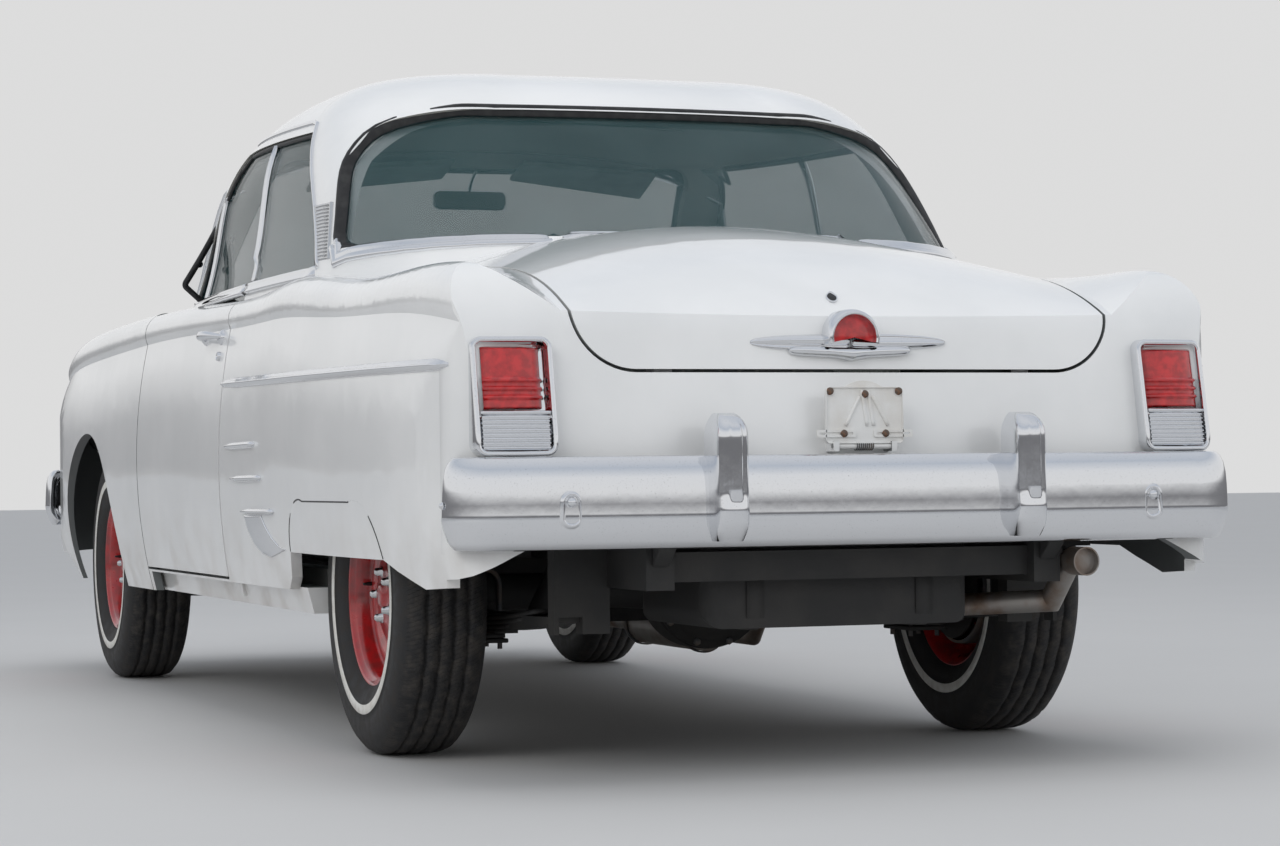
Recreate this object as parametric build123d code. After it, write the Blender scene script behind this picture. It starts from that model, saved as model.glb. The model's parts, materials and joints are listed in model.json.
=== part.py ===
"""A two-door hardtop car of the early 1950s, built as separate panels, glass, chassis and running gear.

The nose points along +X, the left side along +Y, and +Z is up. The origin is on the ground under the
middle of the car. Lengths are millimetres.
"""
from build123d import *
from math import atan2, cos, degrees, pi, radians, sin
import os

os.makedirs("parts", exist_ok=True)

# Driving sizes
wheelbase = 2997.0
front_overhang = 950.0
rear_overhang = 1060.0
front_track = 1500.0
rear_track = 1424.0
tyre_radius = 355.0
tyre_width = 205.0
rim_radius = 196.0
kingpin_offset = 115.0
skin = 30.0
roof_wall = 34.0
shut_gap = 7.0
glass_thickness = 6.0
glass_recess = 12.0
belt_z = 1092.0
rocker_z = 300.0
floor_z = 345.0
floor_thickness = 15.0
seam = 0.3

length = front_overhang + wheelbase + rear_overhang
rear_axle_x = rear_overhang - length / 2
front_axle_x = rear_axle_x + wheelbase
tail_x = rear_axle_x - 915.0
nose_x = front_axle_x + 800.0
door_front_x = front_axle_x - 797.0
door_rear_x = rear_axle_x + 1110.0
cowl_x = front_axle_x - 577.0
far = 3000.0


def faceted(outline, centre, axis, sides):
    """A ring of flat facets: the outline (radius, along) repeated round an axis, with a flat at the bottom."""
    plane = Plane(origin=centre, z_dir=axis)
    reach = 1 / cos(pi / sides)
    rings = []
    for k in range(sides):
        turn = 2 * pi * (k + 0.5) / sides
        rings.append([
            plane.from_local_coords(Vector(r * reach * cos(turn), r * reach * sin(turn), a)) for r, a in outline])
    faces = []
    for k in range(sides):
        near, next_ring = rings[k - 1], rings[k]
        for i in range(len(outline)):
            corners = [near[i - 1], next_ring[i - 1], next_ring[i], near[i]]
            faces.append(Face(Wire.make_polygon(corners, close=True)))
    return Solid(Shell(faces))


def save(shape, name):
    """Writes one sub-part as parts/NAME.step."""
    export_step(shape, f"parts/{name}.step")


def box(x0, x1, y0, y1, z0, z1):
    """A block between two corners."""
    return Pos((x0 + x1) / 2, (y0 + y1) / 2, (z0 + z1) / 2) * Box(x1 - x0, y1 - y0, z1 - z0)


def mirrored(shape):
    """The same shape on the other side of the car."""
    return shape.mirror(Plane.XZ)


def both_sides(shape):
    """The shape and its mirror image, as one compound of solids that don't touch."""
    return Compound(children=[*solids_of(shape), *solids_of(mirrored(shape))])


def solids_of(shape):
    return list(shape.solids())


def chain(*segments):
    """A closed face from (start, end) lines and (start, middle, end) arcs, all given as points."""
    edges = []
    for points in segments:
        if len(points) == 2:
            edges.append(Edge.make_line(*points))
        else:
            edges.append(Edge.make_three_point_arc(*points))
    return Wire(edges)


def side_face(points, radii=0.0):
    """A face in the XZ plane at y = 0 from corner points (x, z), with its corners rounded."""
    wire = Wire.make_polygon([(x, 0, z) for x, z in points], close=True)
    face = Face(wire)
    if radii:
        face = face.fillet_2d(radii, face.vertices())
    return face


def side_prism(points, y0, y1, radius=0.0):
    """The side view outline (x, z) pushed from y0 to y1."""
    face = side_face(points, radius).moved(Location((0, y0, 0)))
    return Solid.extrude(face, Vector(0, y1 - y0, 0))


def rear_prism(points, x0, x1, radius=0.0):
    """The rear view outline (y, z) pushed from x0 to x1."""
    face = Face(Wire.make_polygon([(x0, y, z) for y, z in points], close=True))
    if radius:
        face = face.fillet_2d(radius, face.vertices())
    return Solid.extrude(face, Vector(x1 - x0, 0, 0))


def plan_prism(points, z0, z1, radius=0.0):
    """The plan view outline (x, y) pushed from z0 to z1."""
    face = Face(Wire.make_polygon([(x, y, z0) for x, y in points], close=True))
    if radius:
        face = face.fillet_2d(radius, face.vertices())
    return Solid.extrude(face, Vector(0, 0, z1 - z0))


def rod(start, end, radius):
    """A round bar between two points."""
    a, b = Vector(*start), Vector(*end)
    return Solid.make_cylinder(radius, (b - a).length, Plane(origin=a, z_dir=b - a))


def turned(points, centre, axis):
    """A ring or cup turned from an outline (radius, along) about an axis through a point."""
    plane = Plane(origin=centre, z_dir=axis)
    wire = Wire.make_polygon([plane.from_local_coords(Vector(r, 0, a)) for r, a in points], close=True)
    return Solid.revolve(Face(wire), 360, Axis(plane.origin, plane.z_dir))


# Body cross-sections from tail to nose. Columns: x, half-width at the sill, widest half-width and its
# height, half-width and height where the shoulder starts, half-width and height of the fender top,
# half-width and height of the valley beside the deck or hood, and height on the centre line.
BODY = [
    (rear_axle_x - 960, 750, 832, 640, 812, 905, 752, 1000, 610, 885, 850),
    (rear_axle_x - 800, 785, 864, 640, 835, 930, 762, 1040, 620, 968, 975),
    (rear_axle_x - 600, 805, 885, 640, 853, 952, 774, 1056, 630, 1028, 1080),
    (rear_axle_x - 300, 825, 898, 640, 866, 965, 785, 1052, 640, 1058, 1158),
    (rear_axle_x + 0, 830, 902, 640, 872, 975, 790, 1062, 655, 1074, 1196),
    (rear_axle_x + 700, 830, 897, 655, 867, 1000, 802, 1085, 700, 1092, 1150),
    (door_front_x - 300, 832, 903, 670, 870, 1010, 808, 1098, 690, 1102, 1150),
    (front_axle_x - 500, 832, 912, 690, 872, 1005, 798, 1102, 650, 1094, 1145),
    (front_axle_x + 0, 830, 920, 730, 874, 995, 790, 1098, 625, 1074, 1118),
    (front_axle_x + 400, 820, 915, 800, 872, 980, 780, 1084, 605, 1036, 1068),
    (front_axle_x + 830, 790, 885, 820, 838, 930, 755, 1015, 580, 940, 960),
]
sill_cut_z = 200.0


def body_section(row, inset):
    """One closed cross-section of the body, shrunk by inset, with eight edges."""
    x, y_sill, y_wide, z_wide, y_sh, z_sh, y_top, z_top, y_val, z_val, z_mid = row
    base = sill_cut_z - inset
    y_sill, y_wide, y_sh, y_top, y_val = (y - inset for y in (y_sill, y_wide, y_sh, y_top, y_val))
    z_sh, z_top, z_val, z_mid = (z - inset for z in (z_sh, z_top, z_val, z_mid))
    # the shoulder bulges past the chord between its two ends
    bulge = 0.30
    y_round = (y_sh + y_top) / 2 + bulge * (z_top - z_sh)
    z_round = (z_sh + z_top) / 2 + bulge * (y_sh - y_top)
    half = [
        [(x, y_sill, base), (x, y_wide, z_wide), (x, y_sh, z_sh)],
        [(x, y_sh, z_sh), (x, y_round, z_round), (x, y_top, z_top)],
        [(x, y_top, z_top), (x, y_val, z_val)],
    ]
    other = [[(px, -py, pz) for px, py, pz in reversed(seg)] for seg in reversed(half)]
    top = [[(x, y_val, z_val), (x, 0, z_mid), (x, -y_val, z_val)]]
    bottom = [[(x, -y_sill, base), (x, y_sill, base)]]
    return chain(*half, *top, *other, *bottom)


def tail_and_nose(inset):
    """The side view of the whole body, as a block across the car."""
    t, n = tail_x + inset, nose_x - inset
    wire = chain(
        [(t, 0, 100), (t, 0, 600)],
        [(t, 0, 600), (t + 53, 0, 900)],
        [(t + 53, 0, 900), (t + 98, 0, 995 - inset), (t + 215, 0, 1060 - inset)],
        [(t + 215, 0, 1060 - inset), (t + 700, 0, 1400)],
        [(t + 700, 0, 1400), (n - 900, 0, 1400)],
        [(n - 900, 0, 1400), (n - 260, 0, 1085 - inset)],
        [(n - 260, 0, 1085 - inset), (n - 75, 0, 1010 - inset), (n, 0, 850 - inset)],
        [(n, 0, 850 - inset), (n - 40, 0, 100)],
        [(n - 40, 0, 100), (t, 0, 100)],
    )
    face = Face(wire).moved(Location((0, -far, 0)))
    return Solid.extrude(face, Vector(0, 2 * far, 0))


def plan_view(inset):
    """The plan view that rounds the four corners of the body, as a block of full height."""
    t, n = tail_x + inset, nose_x - inset
    rear_r, front_r = 105.0, 210.0
    yr, yf = 852.0 - inset, 908.0 - inset
    bow = 22.0
    c = 1 - cos(radians(45))
    corners = []
    for s in (1, -1):
        corners.append([
            [(t + bow, s * (yr - rear_r), 0), (t + bow + c * rear_r, s * (yr - c * rear_r), 0),
             (t + bow + rear_r, s * yr, 0)],
            [(t + bow + rear_r, s * yr, 0), (t + 500, s * 950, 0)],
            [(t + 500, s * 950, 0), (n - 600, s * 950, 0)],
            [(n - 600, s * 950, 0), (n - bow - front_r, s * yf, 0)],
            [(n - bow - front_r, s * yf, 0), (n - bow - c * front_r, s * (yf - c * front_r), 0),
             (n - bow, s * (yf - front_r), 0)],
        ])
    left, right = corners
    back_right = [list(reversed(seg)) for seg in reversed(right)]
    wire = chain(
        *left,
        [(n - bow, yf - front_r, 0), (n + 3, 0, 0), (n - bow, front_r - yf, 0)],
        *back_right,
        [(t + bow, rear_r - yr, 0), (t - 3, 0, 0), (t + bow, yr - rear_r, 0)],
    )
    return Solid.extrude(Face(wire), Vector(0, 0, 2000))


def body_volume(inset):
    """The filled body below the glass, shrunk by inset."""
    loft = Solid.make_loft([body_section(row, inset) for row in BODY])
    return loft & tail_and_nose(inset) & plan_view(inset)


# Horizontal outlines of the glasshouse from belt to roof. Columns: height, front centre x, front corner
# x and y, widest point x and y, start of the rear corner x and y, its middle x and y, its end x and y,
# and rear centre x.
wa = front_axle_x
ra = rear_axle_x
HOUSE = [
    (1000, wa - 540, wa - 850, 780, ra + 1250, 838, ra + 420, 818, ra + 30, 738, ra - 240, 430, ra - 290),
    (1120, wa - 640, wa - 950, 766, ra + 1250, 816, ra + 480, 803, ra + 145, 732, ra - 75, 445, ra - 125),
    (1290, wa - 850, wa - 1110, 748, ra + 1230, 782, ra + 590, 774, ra + 305, 708, ra + 140, 425, ra + 105),
    (1460, wa - 1100, wa - 1300, 718, ra + 1210, 748, ra + 720, 740, ra + 470, 660, ra + 345, 385, ra + 320),
    (1545, wa - 1280, wa - 1440, 660, ra + 1200, 692, ra + 780, 682, ra + 560, 599, ra + 455, 345, ra + 435),
    (1604, wa - 1480, wa - 1590, 555, ra + 1150, 584, ra + 830, 574, ra + 665, 503, ra + 590, 285, ra + 575),
    (1632, wa - 1660, wa - 1740, 400, ra + 1080, 416, ra + 900, 408, ra + 800, 352, ra + 757, 200, ra + 750),
    (1641, wa - 1850, wa - 1870, 150, ra + 1040, 153, ra + 970, 148, ra + 935, 125, ra + 922, 75, ra + 918),
]
roof_thins_from = 1200.0
roof_thins_over = 400.0


def house_section(row, inset):
    """One closed horizontal outline of the glasshouse, shrunk by inset, with six edges."""
    z, xf, xc, yc, xw, yw, xs, ys, xm, ym, xe, ye, xr = row
    z -= inset * min(1.0, max(0.0, (z - roof_thins_from) / roof_thins_over))
    xf, xc, xs, xm, xe, xr = xf - inset, xc - inset, xs + inset, xm + inset, xe + inset, xr + inset
    yc, yw, ys, ym, ye = (y - inset * 0.85 for y in (yc, yw, ys, ym, ye))
    return chain(
        [(xc, yc, z), (xw, yw, z), (xs, ys, z)],
        [(xs, ys, z), (xm, ym, z), (xe, ye, z)],
        [(xe, ye, z), (xr, 0, z), (xe, -ye, z)],
        [(xe, -ye, z), (xm, -ym, z), (xs, -ys, z)],
        [(xs, -ys, z), (xw, -yw, z), (xc, -yc, z)],
        [(xc, -yc, z), (xf, 0, z), (xc, yc, z)],
    )


def house_volume(inset):
    """The filled glasshouse, shrunk by inset."""
    return Solid.make_loft([house_section(row, inset) for row in HOUSE])


def biggest(shape):
    """The largest solid of a cut, without the slivers beside it."""
    return max(solids_of(shape), key=lambda s: s.volume)


def tube(points, radius):
    """A pipe of straight runs with mitred corners."""
    path = Wire.make_polygon([Vector(*p) for p in points], close=False)
    first = Vector(*points[1]) - Vector(*points[0])
    section = Face(Wire.make_circle(radius, Plane(origin=points[0], z_dir=first)))
    return Solid.sweep(section, path, transition=Transition.RIGHT)


# Side windows. Corner points (x, z) of the whole opening, and of the bar between door and quarter glass.
window_rear_low = (ra + 400, belt_z)
window_rear_high = (ra + 705, 1470)
window_front_high = (wa - 1365, 1505)
window_front_low = (wa - 985, belt_z)
bar_x = door_rear_x - 20
SIDE_WINDOW = [window_rear_low, window_rear_high, window_front_high, window_front_low]
BACKLIGHT = [
    (ra - 420, 1172), (ra + 310, 1150), (ra + 440, 1370), (ra + 455, 1462), (ra + 395, 1500), (ra - 420, 1500),
]
WINDSCREEN = [(-700, 1128), (-600, 1500), (600, 1500), (700, 1128)]
corner_round = 35.0


def side_opening(clear):
    """The opening above the belt on the left, shrunk by clear on every side but the belt."""
    face = side_face(SIDE_WINDOW)
    high = [v for v in face.vertices() if v.Z > belt_z + 100]
    face = face.fillet_2d(corner_round, high)
    if clear:
        face = Face(face.outer_wire().offset_2d(-clear))
    face = face.moved(Location((0, 520, 0)))
    return Solid.extrude(face, Vector(0, 400, 0))


def backlight_block(clear):
    face = side_face(BACKLIGHT, corner_round)
    if clear:
        face = Face(face.outer_wire().offset_2d(-clear))
    face = face.moved(Location((0, -far, 0)))
    return Solid.extrude(face, Vector(0, 2 * far, 0))


def windscreen_block(clear):
    face = Face(Wire.make_polygon([(wa - 1450, y, z) for y, z in WINDSCREEN], close=True))
    face = face.fillet_2d(corner_round * 2, face.vertices())
    if clear:
        face = Face(face.outer_wire().offset_2d(-clear))
    return Solid.extrude(face, Vector(1200, 0, 0))


outer = body_volume(0)
inner = body_volume(skin)
lining = body_volume(skin + seam)
house = house_volume(0)
house_inner = house_volume(roof_wall)
shell = outer - inner
roof = house - house_inner

# Wheel openings and the lower edge of the body, as one block across the car to take away
arch_radius = 415.0
arch_z = 350.0
arch_foot_z = 300.0
arch_foot = (arch_radius**2 - (arch_z - arch_foot_z) ** 2) ** 0.5
sill_top = rocker_z + 61.0
skirt_top = 565.0
skirt_foot = 445.0


def skirt_edges(clear):
    """The rear wheel opening's outline above the skirt's lower edge, shrunk by clear."""
    low, high = skirt_foot, skirt_top - clear
    back, front = ra - 440 + clear, ra + 385 - clear
    return [
        [(back, 0, low), (back + 55, 0, low + 80), (back + 215, 0, high)],
        [(back + 215, 0, high), (front - 185, 0, high)],
        [(front - 185, 0, high), (front - 42, 0, low + 80), (front, 0, low)],
    ]


lower_cut = chain(
    [(tail_x - 200, 0, -50), (tail_x - 200, 0, 432)],
    [(tail_x - 200, 0, 432), (ra - 869, 0, 400)],
    [(ra - 869, 0, 400), (ra - 677, 0, 390)],
    [(ra - 677, 0, 390), (ra - 526, 0, 423)],
    [(ra - 526, 0, 423), (ra - 440, 0, skirt_foot)],
    *skirt_edges(0),
    [(ra + 385, 0, skirt_foot), (ra + 420, 0, 385)],
    [(ra + 420, 0, 385), (ra + 470, 0, sill_top - 6)],
    [(ra + 470, 0, sill_top - 6), (door_front_x - 40, 0, sill_top - 6)],
    [(door_front_x - 40, 0, sill_top - 6), (door_front_x - 40, 0, arch_foot_z)],
    [(door_front_x - 40, 0, arch_foot_z), (wa - arch_foot, 0, arch_foot_z)],
    [(wa - arch_foot, 0, arch_foot_z), (wa, 0, arch_z + arch_radius), (wa + arch_foot, 0, arch_foot_z)],
    [(wa + arch_foot, 0, arch_foot_z), (wa + 560, 0, 380)],
    [(wa + 560, 0, 380), (nose_x + 200, 0, 400)],
    [(nose_x + 200, 0, 400), (nose_x + 200, 0, -50)],
    [(nose_x + 200, 0, -50), (tail_x - 200, 0, -50)],
)
lower_cut = Solid.extrude(Face(lower_cut).moved(Location((0, -far, 0))), Vector(0, 2 * far, 0))
panels = shell - lower_cut

# Trunk lid, hood and doors are cut out of the same skin, with a shut gap all round
lid_front_x = ra - 135
lid_half = 596.0
lid_corner = 130.0
lid_low = 829.0
hood_rear_x = cowl_x + shut_gap
hood_half_rear = 600.0
hood_half_front = 560.0
hood_low = 905.0
cowl_half = 690.0
door_inner = 775.0
door_low = sill_top + shut_gap
door_bevel = 20.0


def lid_block(clear):
    side = lid_half + clear
    low, corner = lid_low - clear, lid_corner + clear
    bend = 0.293 * corner
    x = tail_x - 200
    outline = chain(
        [(x, corner - side, low), (x, side - corner, low)],
        [(x, side - corner, low), (x, side - bend, low + bend), (x, side, low + corner)],
        [(x, side, low + corner), (x, side, 1400)],
        [(x, side, 1400), (x, -side, 1400)],
        [(x, -side, 1400), (x, -side, low + corner)],
        [(x, -side, low + corner), (x, bend - side, low + bend), (x, corner - side, low)],
    )
    return Solid.extrude(Face(outline), Vector(lid_front_x + clear - x, 0, 0))


def hood_block(clear):
    return plan_prism(
        [(hood_rear_x - clear, -hood_half_rear - clear), (nose_x + 100, -hood_half_front - clear),
         (nose_x + 100, hood_half_front + clear), (hood_rear_x - clear, hood_half_rear + clear)],
        hood_low - clear, 1400)


def door_block(clear, bevel):
    return plan_prism(
        [(door_front_x + clear, 1100), (door_front_x + clear, door_inner - clear),
         (door_rear_x - clear + bevel, door_inner - clear), (door_rear_x - clear, door_inner + 60 - clear),
         (door_rear_x - clear, 1100)],
        door_low - clear, belt_z + 3 * clear)


trunk_lid = biggest(shell & lid_block(0))
hood = biggest(shell & hood_block(0))
door_left = biggest(outer & door_block(0, door_bevel))

cowl_under_z = 1057.0
rail_in, rail_out = 400.0, 460.0
horn_top = 545.0
tail_apron_z = 500.0
flap_low, flap_high = 664.0, 806.0
flap_x = tail_x - 16
flap_pin = 6.0
tailpipe_y = 495.0
tailpipe_z = 427.0

# Front clip: both fenders and the nose
clip_rear = door_front_x + shut_gap
front_region = box(clip_rear, nose_x + 300, -far, far, 0, 2000)
front_region -= box(clip_rear - 10, cowl_x, -cowl_half, cowl_half, -10, 2100)
clip = (panels & front_region) - hood_block(shut_gap)
lamp_y = 700.0
lamp_z = 800.0
lamp_radius = 104.0
grille_half = 560.0
grille_low = 570.0
grille_high = 790.0
for side in (1, -1):
    clip -= rod((wa + 600, side * lamp_y, lamp_z), (nose_x + 100, side * lamp_y, lamp_z), lamp_radius + seam)
clip -= box(nose_x - 260, nose_x + 100, -grille_half, grille_half, grille_low, grille_high)
for y in (rail_in - 5, -rail_out - 5):
    clip -= box(nose_x - 120, nose_x + 60, y, y + rail_out - rail_in + 10, 300, horn_top)
clip = biggest(clip)

# Body: quarters, tail, cowl, pillars and roof in one piece
rear_region = box(tail_x - 300, clip_rear - shut_gap, -far, far, 0, 2000)
rear_region += box(clip_rear - 50, cowl_x - seam, seam - cowl_half, cowl_half - seam, 0, 2000)
roof &= box(-far, far, -far, far, cowl_under_z, far)
body = (panels & rear_region) + roof - house_inner
body -= lid_block(shut_gap)
for piece in (door_block(shut_gap, 0), side_opening(0)):
    body -= piece
    body -= mirrored(piece)
body -= backlight_block(0)
body -= windscreen_block(0)
rocker = rear_prism(
    [(700, rocker_z), (826, rocker_z), (842, sill_top), (door_inner - shut_gap, sill_top),
     (door_inner - shut_gap, sill_top + 40), (700, sill_top + 40)],
    ra + 380, clip_rear - seam)
jamb = box(door_rear_x - 30, door_rear_x - shut_gap, 715, 880, rocker_z + 20, 1075)
flange = box(door_rear_x - 30, door_rear_x + 50, 735, door_inner - shut_gap, rocker_z + 20, 1075)
hinge_pillar = box(clip_rear - 60, clip_rear + 60, 685, door_inner - shut_gap, sill_top + seam, 1064)
cowl_side = box(clip_rear - 60, cowl_x - 20, 672, cowl_half - seam, sill_top + seam, 1085)
jambs = (jamb + flange) & lining
for piece in (rocker, jambs, hinge_pillar, cowl_side):
    body += piece
    body += mirrored(piece)
horn = box(tail_x - 60, tail_x + 120, rail_in - 5, rail_out + 5, 300, horn_top)
body -= horn
body -= mirrored(horn)
body -= rear_prism(
    [(-960, 300), (-900, 402), (-850, 411), (-810, 422), (-770, 440), (-700, 475), (-640, tail_apron_z),
     (640, tail_apron_z), (700, 475), (770, 440), (810, 422), (850, 411), (900, 402), (960, 300)],
    tail_x - 60, tail_x + 120)
buffer = box(tail_x - 50, tail_x + 115, 380, 420, lid_low - 60, lid_low + 40) & lining
buffer += box(tail_x - 50, tail_x + 115, 380, 420, lid_low - 60, lid_low - 15) & outer
body += buffer
body += mirrored(buffer)
filler_lug = box(flap_x - 15, tail_x + 40, 58, 70, flap_low - 4, flap_low + 16)
filler_lug -= rod((flap_x - 6, 50, flap_low + 6), (flap_x - 6, 80, flap_low + 6), flap_pin + 0.4)
filler_lug -= inner
body += filler_lug
body += mirrored(filler_lug)
body = biggest(body)
save(body, "body_shell")
save(clip, "front_fenders")
save(hood, "hood")
save(trunk_lid, "trunk_lid")
save(door_left, "door_left")
save(mirrored(door_left), "door_right")

# Glass: one curved pane shell under the roof's outer surface, cut to each opening
panes = house_volume(glass_recess) - house_volume(glass_recess + glass_thickness)
windscreen = biggest(panes & windscreen_block(seam))
backlight = biggest(panes & backlight_block(seam))
side_panes = panes & side_opening(seam)
above_belt = box(-far, far, 0, far, belt_z + seam, 2000)
quarter_glass = biggest(side_panes & box(-far, bar_x - shut_gap, 0, far, belt_z + seam, 2000))
door_opening = side_opening(shut_gap) + box(door_rear_x, window_front_low[0] - 40, 520, 920, belt_z, belt_z + 30)
door_glass = biggest(panes & door_opening & box(bar_x, far, 0, far, belt_z + seam, 2000))
save(Compound(children=[windscreen, backlight, quarter_glass, mirrored(quarter_glass)]), "fixed_windows")
save(door_glass, "door_glass_left")
save(mirrored(door_glass), "door_glass_right")

# Fender skirts fill the rear wheel openings of the same skin
skirt_face = Face(chain(
    *skirt_edges(seam),
    [(ra + 385 - seam, 0, skirt_foot), (ra - 440 + seam, 0, skirt_foot)],
))
skirt = biggest(shell & Solid.extrude(skirt_face.moved(Location((0, 600, 0))), Vector(0, 500, 0)))
save(both_sides(skirt), "fender_skirts")

# Floor, firewall and rear wheelhouses
floor_half = 700.0 - seam
trunk_floor_z = 500.0
axle_hump_z = 560.0
firewall_x = cowl_x - 60
hump_half = 560.0


def band(points, thickness, y0, y1):
    """A bent sheet: the side view line (x, z) thickened downwards."""
    lower = [(x, z - thickness) for x, z in reversed(points)]
    return side_prism([*points, *lower], y0, y1)


cabin_floor = band(
    [(firewall_x - 70, floor_z + floor_thickness), (ra + 500, floor_z + floor_thickness)],
    floor_thickness, -floor_half, floor_half)
hump = band(
    [(ra + 520, floor_z + floor_thickness), (ra + 420, axle_hump_z), (ra - 380, axle_hump_z),
     (ra - 420, trunk_floor_z)],
    floor_thickness, -hump_half, hump_half)
trunk_floor = box(
    tail_x + 60, ra - 420 - seam, -hump_half, hump_half, trunk_floor_z - floor_thickness, trunk_floor_z)
toe_board = band(
    [(firewall_x - 80, floor_z + floor_thickness), (firewall_x, floor_z + 160), (firewall_x + 8, floor_z + 160)],
    floor_thickness, -floor_half + 30, floor_half - 30)
firewall = box(firewall_x, firewall_x + 12, -floor_half + 30, floor_half - 30, floor_z + 130, cowl_under_z - 1)
tunnel_z = floor_z + 20
tunnel_radius = 130.0
tunnel = Solid.extrude(
    Face(Wire.make_circle(tunnel_radius, Plane(origin=(ra + 440, 0, tunnel_z), z_dir=(1, 0, 0)))),
    Vector(firewall_x - ra - 440, 0, 0))
tunnel_core = Solid.extrude(
    Face(Wire.make_circle(tunnel_radius - 12, Plane(origin=(ra + 400, 0, tunnel_z), z_dir=(1, 0, 0)))),
    Vector(firewall_x - ra - 300, 0, 0))
house_radius = 425.0
wheelhouse = rod((ra, hump_half - 15, tyre_radius), (ra, 790, tyre_radius), house_radius)
wheelhouse -= rod((ra, hump_half - 3, tyre_radius), (ra, 900, tyre_radius), house_radius - 12)
wheelhouse -= box(-far, far, 0, far, 0, skirt_foot)
floor = cabin_floor + hump + toe_board + firewall
floor += tunnel & box(-far, far, -far, far, floor_z, 2000)
floor -= tunnel_core
floor += (wheelhouse & lining)
floor += mirrored(wheelhouse & lining)
floor -= box(-far, far, -far, far, -50, floor_z)
floor = biggest(floor)
save(Compound(children=[floor, trunk_floor]), "floor_pan")

# Frame: two rails with a kick-up over the rear axle, and their cross members
rail_top = floor_z - seam
rail_deep = 95.0
rail_end_rear = tail_x + 15
rail_end_front = nose_x - 60
kick_z = 530.0
rail_line = [
    (rail_end_front, 440), (wa + 330, 440), (wa - 380, 440), (wa - 560, rail_top), (ra + 480, rail_top),
    (ra + 380, kick_z), (ra - 300, kick_z), (ra - 400, 480), (rail_end_rear, 480),
]
rail = band(rail_line, rail_deep, rail_in, rail_out)
frame = rail + mirrored(rail)
spring_tower_z = 441.0
CROSS_MEMBERS = [
    # x from, x to, z from, z to
    (rail_end_front - 90, rail_end_front - 20, 360, 430),
    (wa - 85, wa + 85, 345, 425),
    (wa - 700, wa - 640, rail_top - 80, rail_top - 20),
    (ra + 640, ra + 700, rail_top - 95, rail_top - 45),
    (ra - 350, ra - 290, 450, 510),
    (rail_end_rear + 32, rail_end_rear + 80, 400, 460),
]
for x0, x1, z0, z1 in CROSS_MEMBERS:
    frame += box(x0, x1, -rail_in - 5, rail_in + 5, z0, z1)
tower = box(wa - 60, wa + 60, rail_out - 5, 570, spring_tower_z, spring_tower_z + 14)
arm_seat = box(wa - 110, wa + 110, rail_in + 10, rail_out + 20, 250, 346)
spring_front_x = ra + 690
spring_rear_x = ra - 640
spring_y = 540.0
leaf_eye_z = 325.0
hanger_front = box(spring_front_x - 22, spring_front_x + 22, rail_out - 5, spring_y + 35, 290, rail_top)
hanger_front -= box(spring_front_x - 30, spring_front_x + 30, spring_y - 25.3, spring_y + 25.3, 200, leaf_eye_z + seam)
hanger_rear = box(spring_rear_x - 22, spring_rear_x + 22, rail_out - 5, spring_y + 35, 290, 470)
hanger_rear -= box(spring_rear_x - 30, spring_rear_x + 30, spring_y - 25.3, spring_y + 25.3, 200, leaf_eye_z + seam)
for piece in (tower, arm_seat, hanger_front, hanger_rear):
    frame += piece
    frame += mirrored(piece)
frame = biggest(frame)
save(frame, "chassis_frame")

# Engine with gearbox, and the propeller shaft
engine = box(wa - 500, wa + 160, -230, 230, 425.3, 830)
save(engine, "engine")
gearbox = rod((wa - 490, 0, 440), (wa - 600, 0, 425), 100) + rod((wa - 600, 0, 402), (wa - 1250, 0, 350), 68)
shaft = rod((wa - 1245, 0, 350), (ra + 160.3, 0, tyre_radius + 5), 36)
gearbox = (gearbox + shaft) & box(ra + 160 + seam, wa - 500 - seam, -far, far, 0, 2000)
save(biggest(gearbox), "driveline")

# Wheels. Columns: name, axle x, side, distance of the wheel's middle from the car's middle.
kingpin_y = front_track / 2 - kingpin_offset
front_y = front_track / 2
rear_y = rear_track / 2
WHEELS = [
    ("front_left", wa, 1, front_y),
    ("front_right", wa, -1, front_y),
    ("rear_left", ra, 1, rear_y),
    ("rear_right", ra, -1, rear_y),
]
half = tyre_width / 2
bead = rim_radius - 6
tyre_sides = 64
tyre_outline = [
    (bead + seam, -66), (262, -half), (335, -half + 14), (tyre_radius, -58),
    (tyre_radius, 58), (335, half - 14), (262, half), (bead + seam, 66),
]
hub_bore = 17.4
wheel_outline = [
    (0, 42), (0, 66), (30, 62), (38, 50), (62, 50), (104, 38), (118, 22), (150, 34), (176, 26),
    (181, 64), (197, 78), (204, 77), (204, 73.6), (bead, 66 + seam), (bead, -66 - seam),
    (204, -73.6), (204, -77), (197, -78), (178, -60), (176, 18), (150, 27), (118, 14), (103, 30),
    (40, 38), (40, -30), (hub_bore, -30), (hub_bore, 42),
]
drum_outline = [
    (40 + seam, 8), (150, 8), (150, -62), (140, -62), (140, -4), (40 + seam, -4),
]
for name, x, s, y in WHEELS:
    centre = (x, s * y, tyre_radius)
    outward = (0, s, 0)
    save(faceted(tyre_outline, centre, outward, tyre_sides), f"tyre_{name}")
    disc = turned(wheel_outline, centre, outward)
    drum = turned(drum_outline, centre, outward)
    save(Compound(children=[disc, drum]), f"wheel_{name}")

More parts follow.
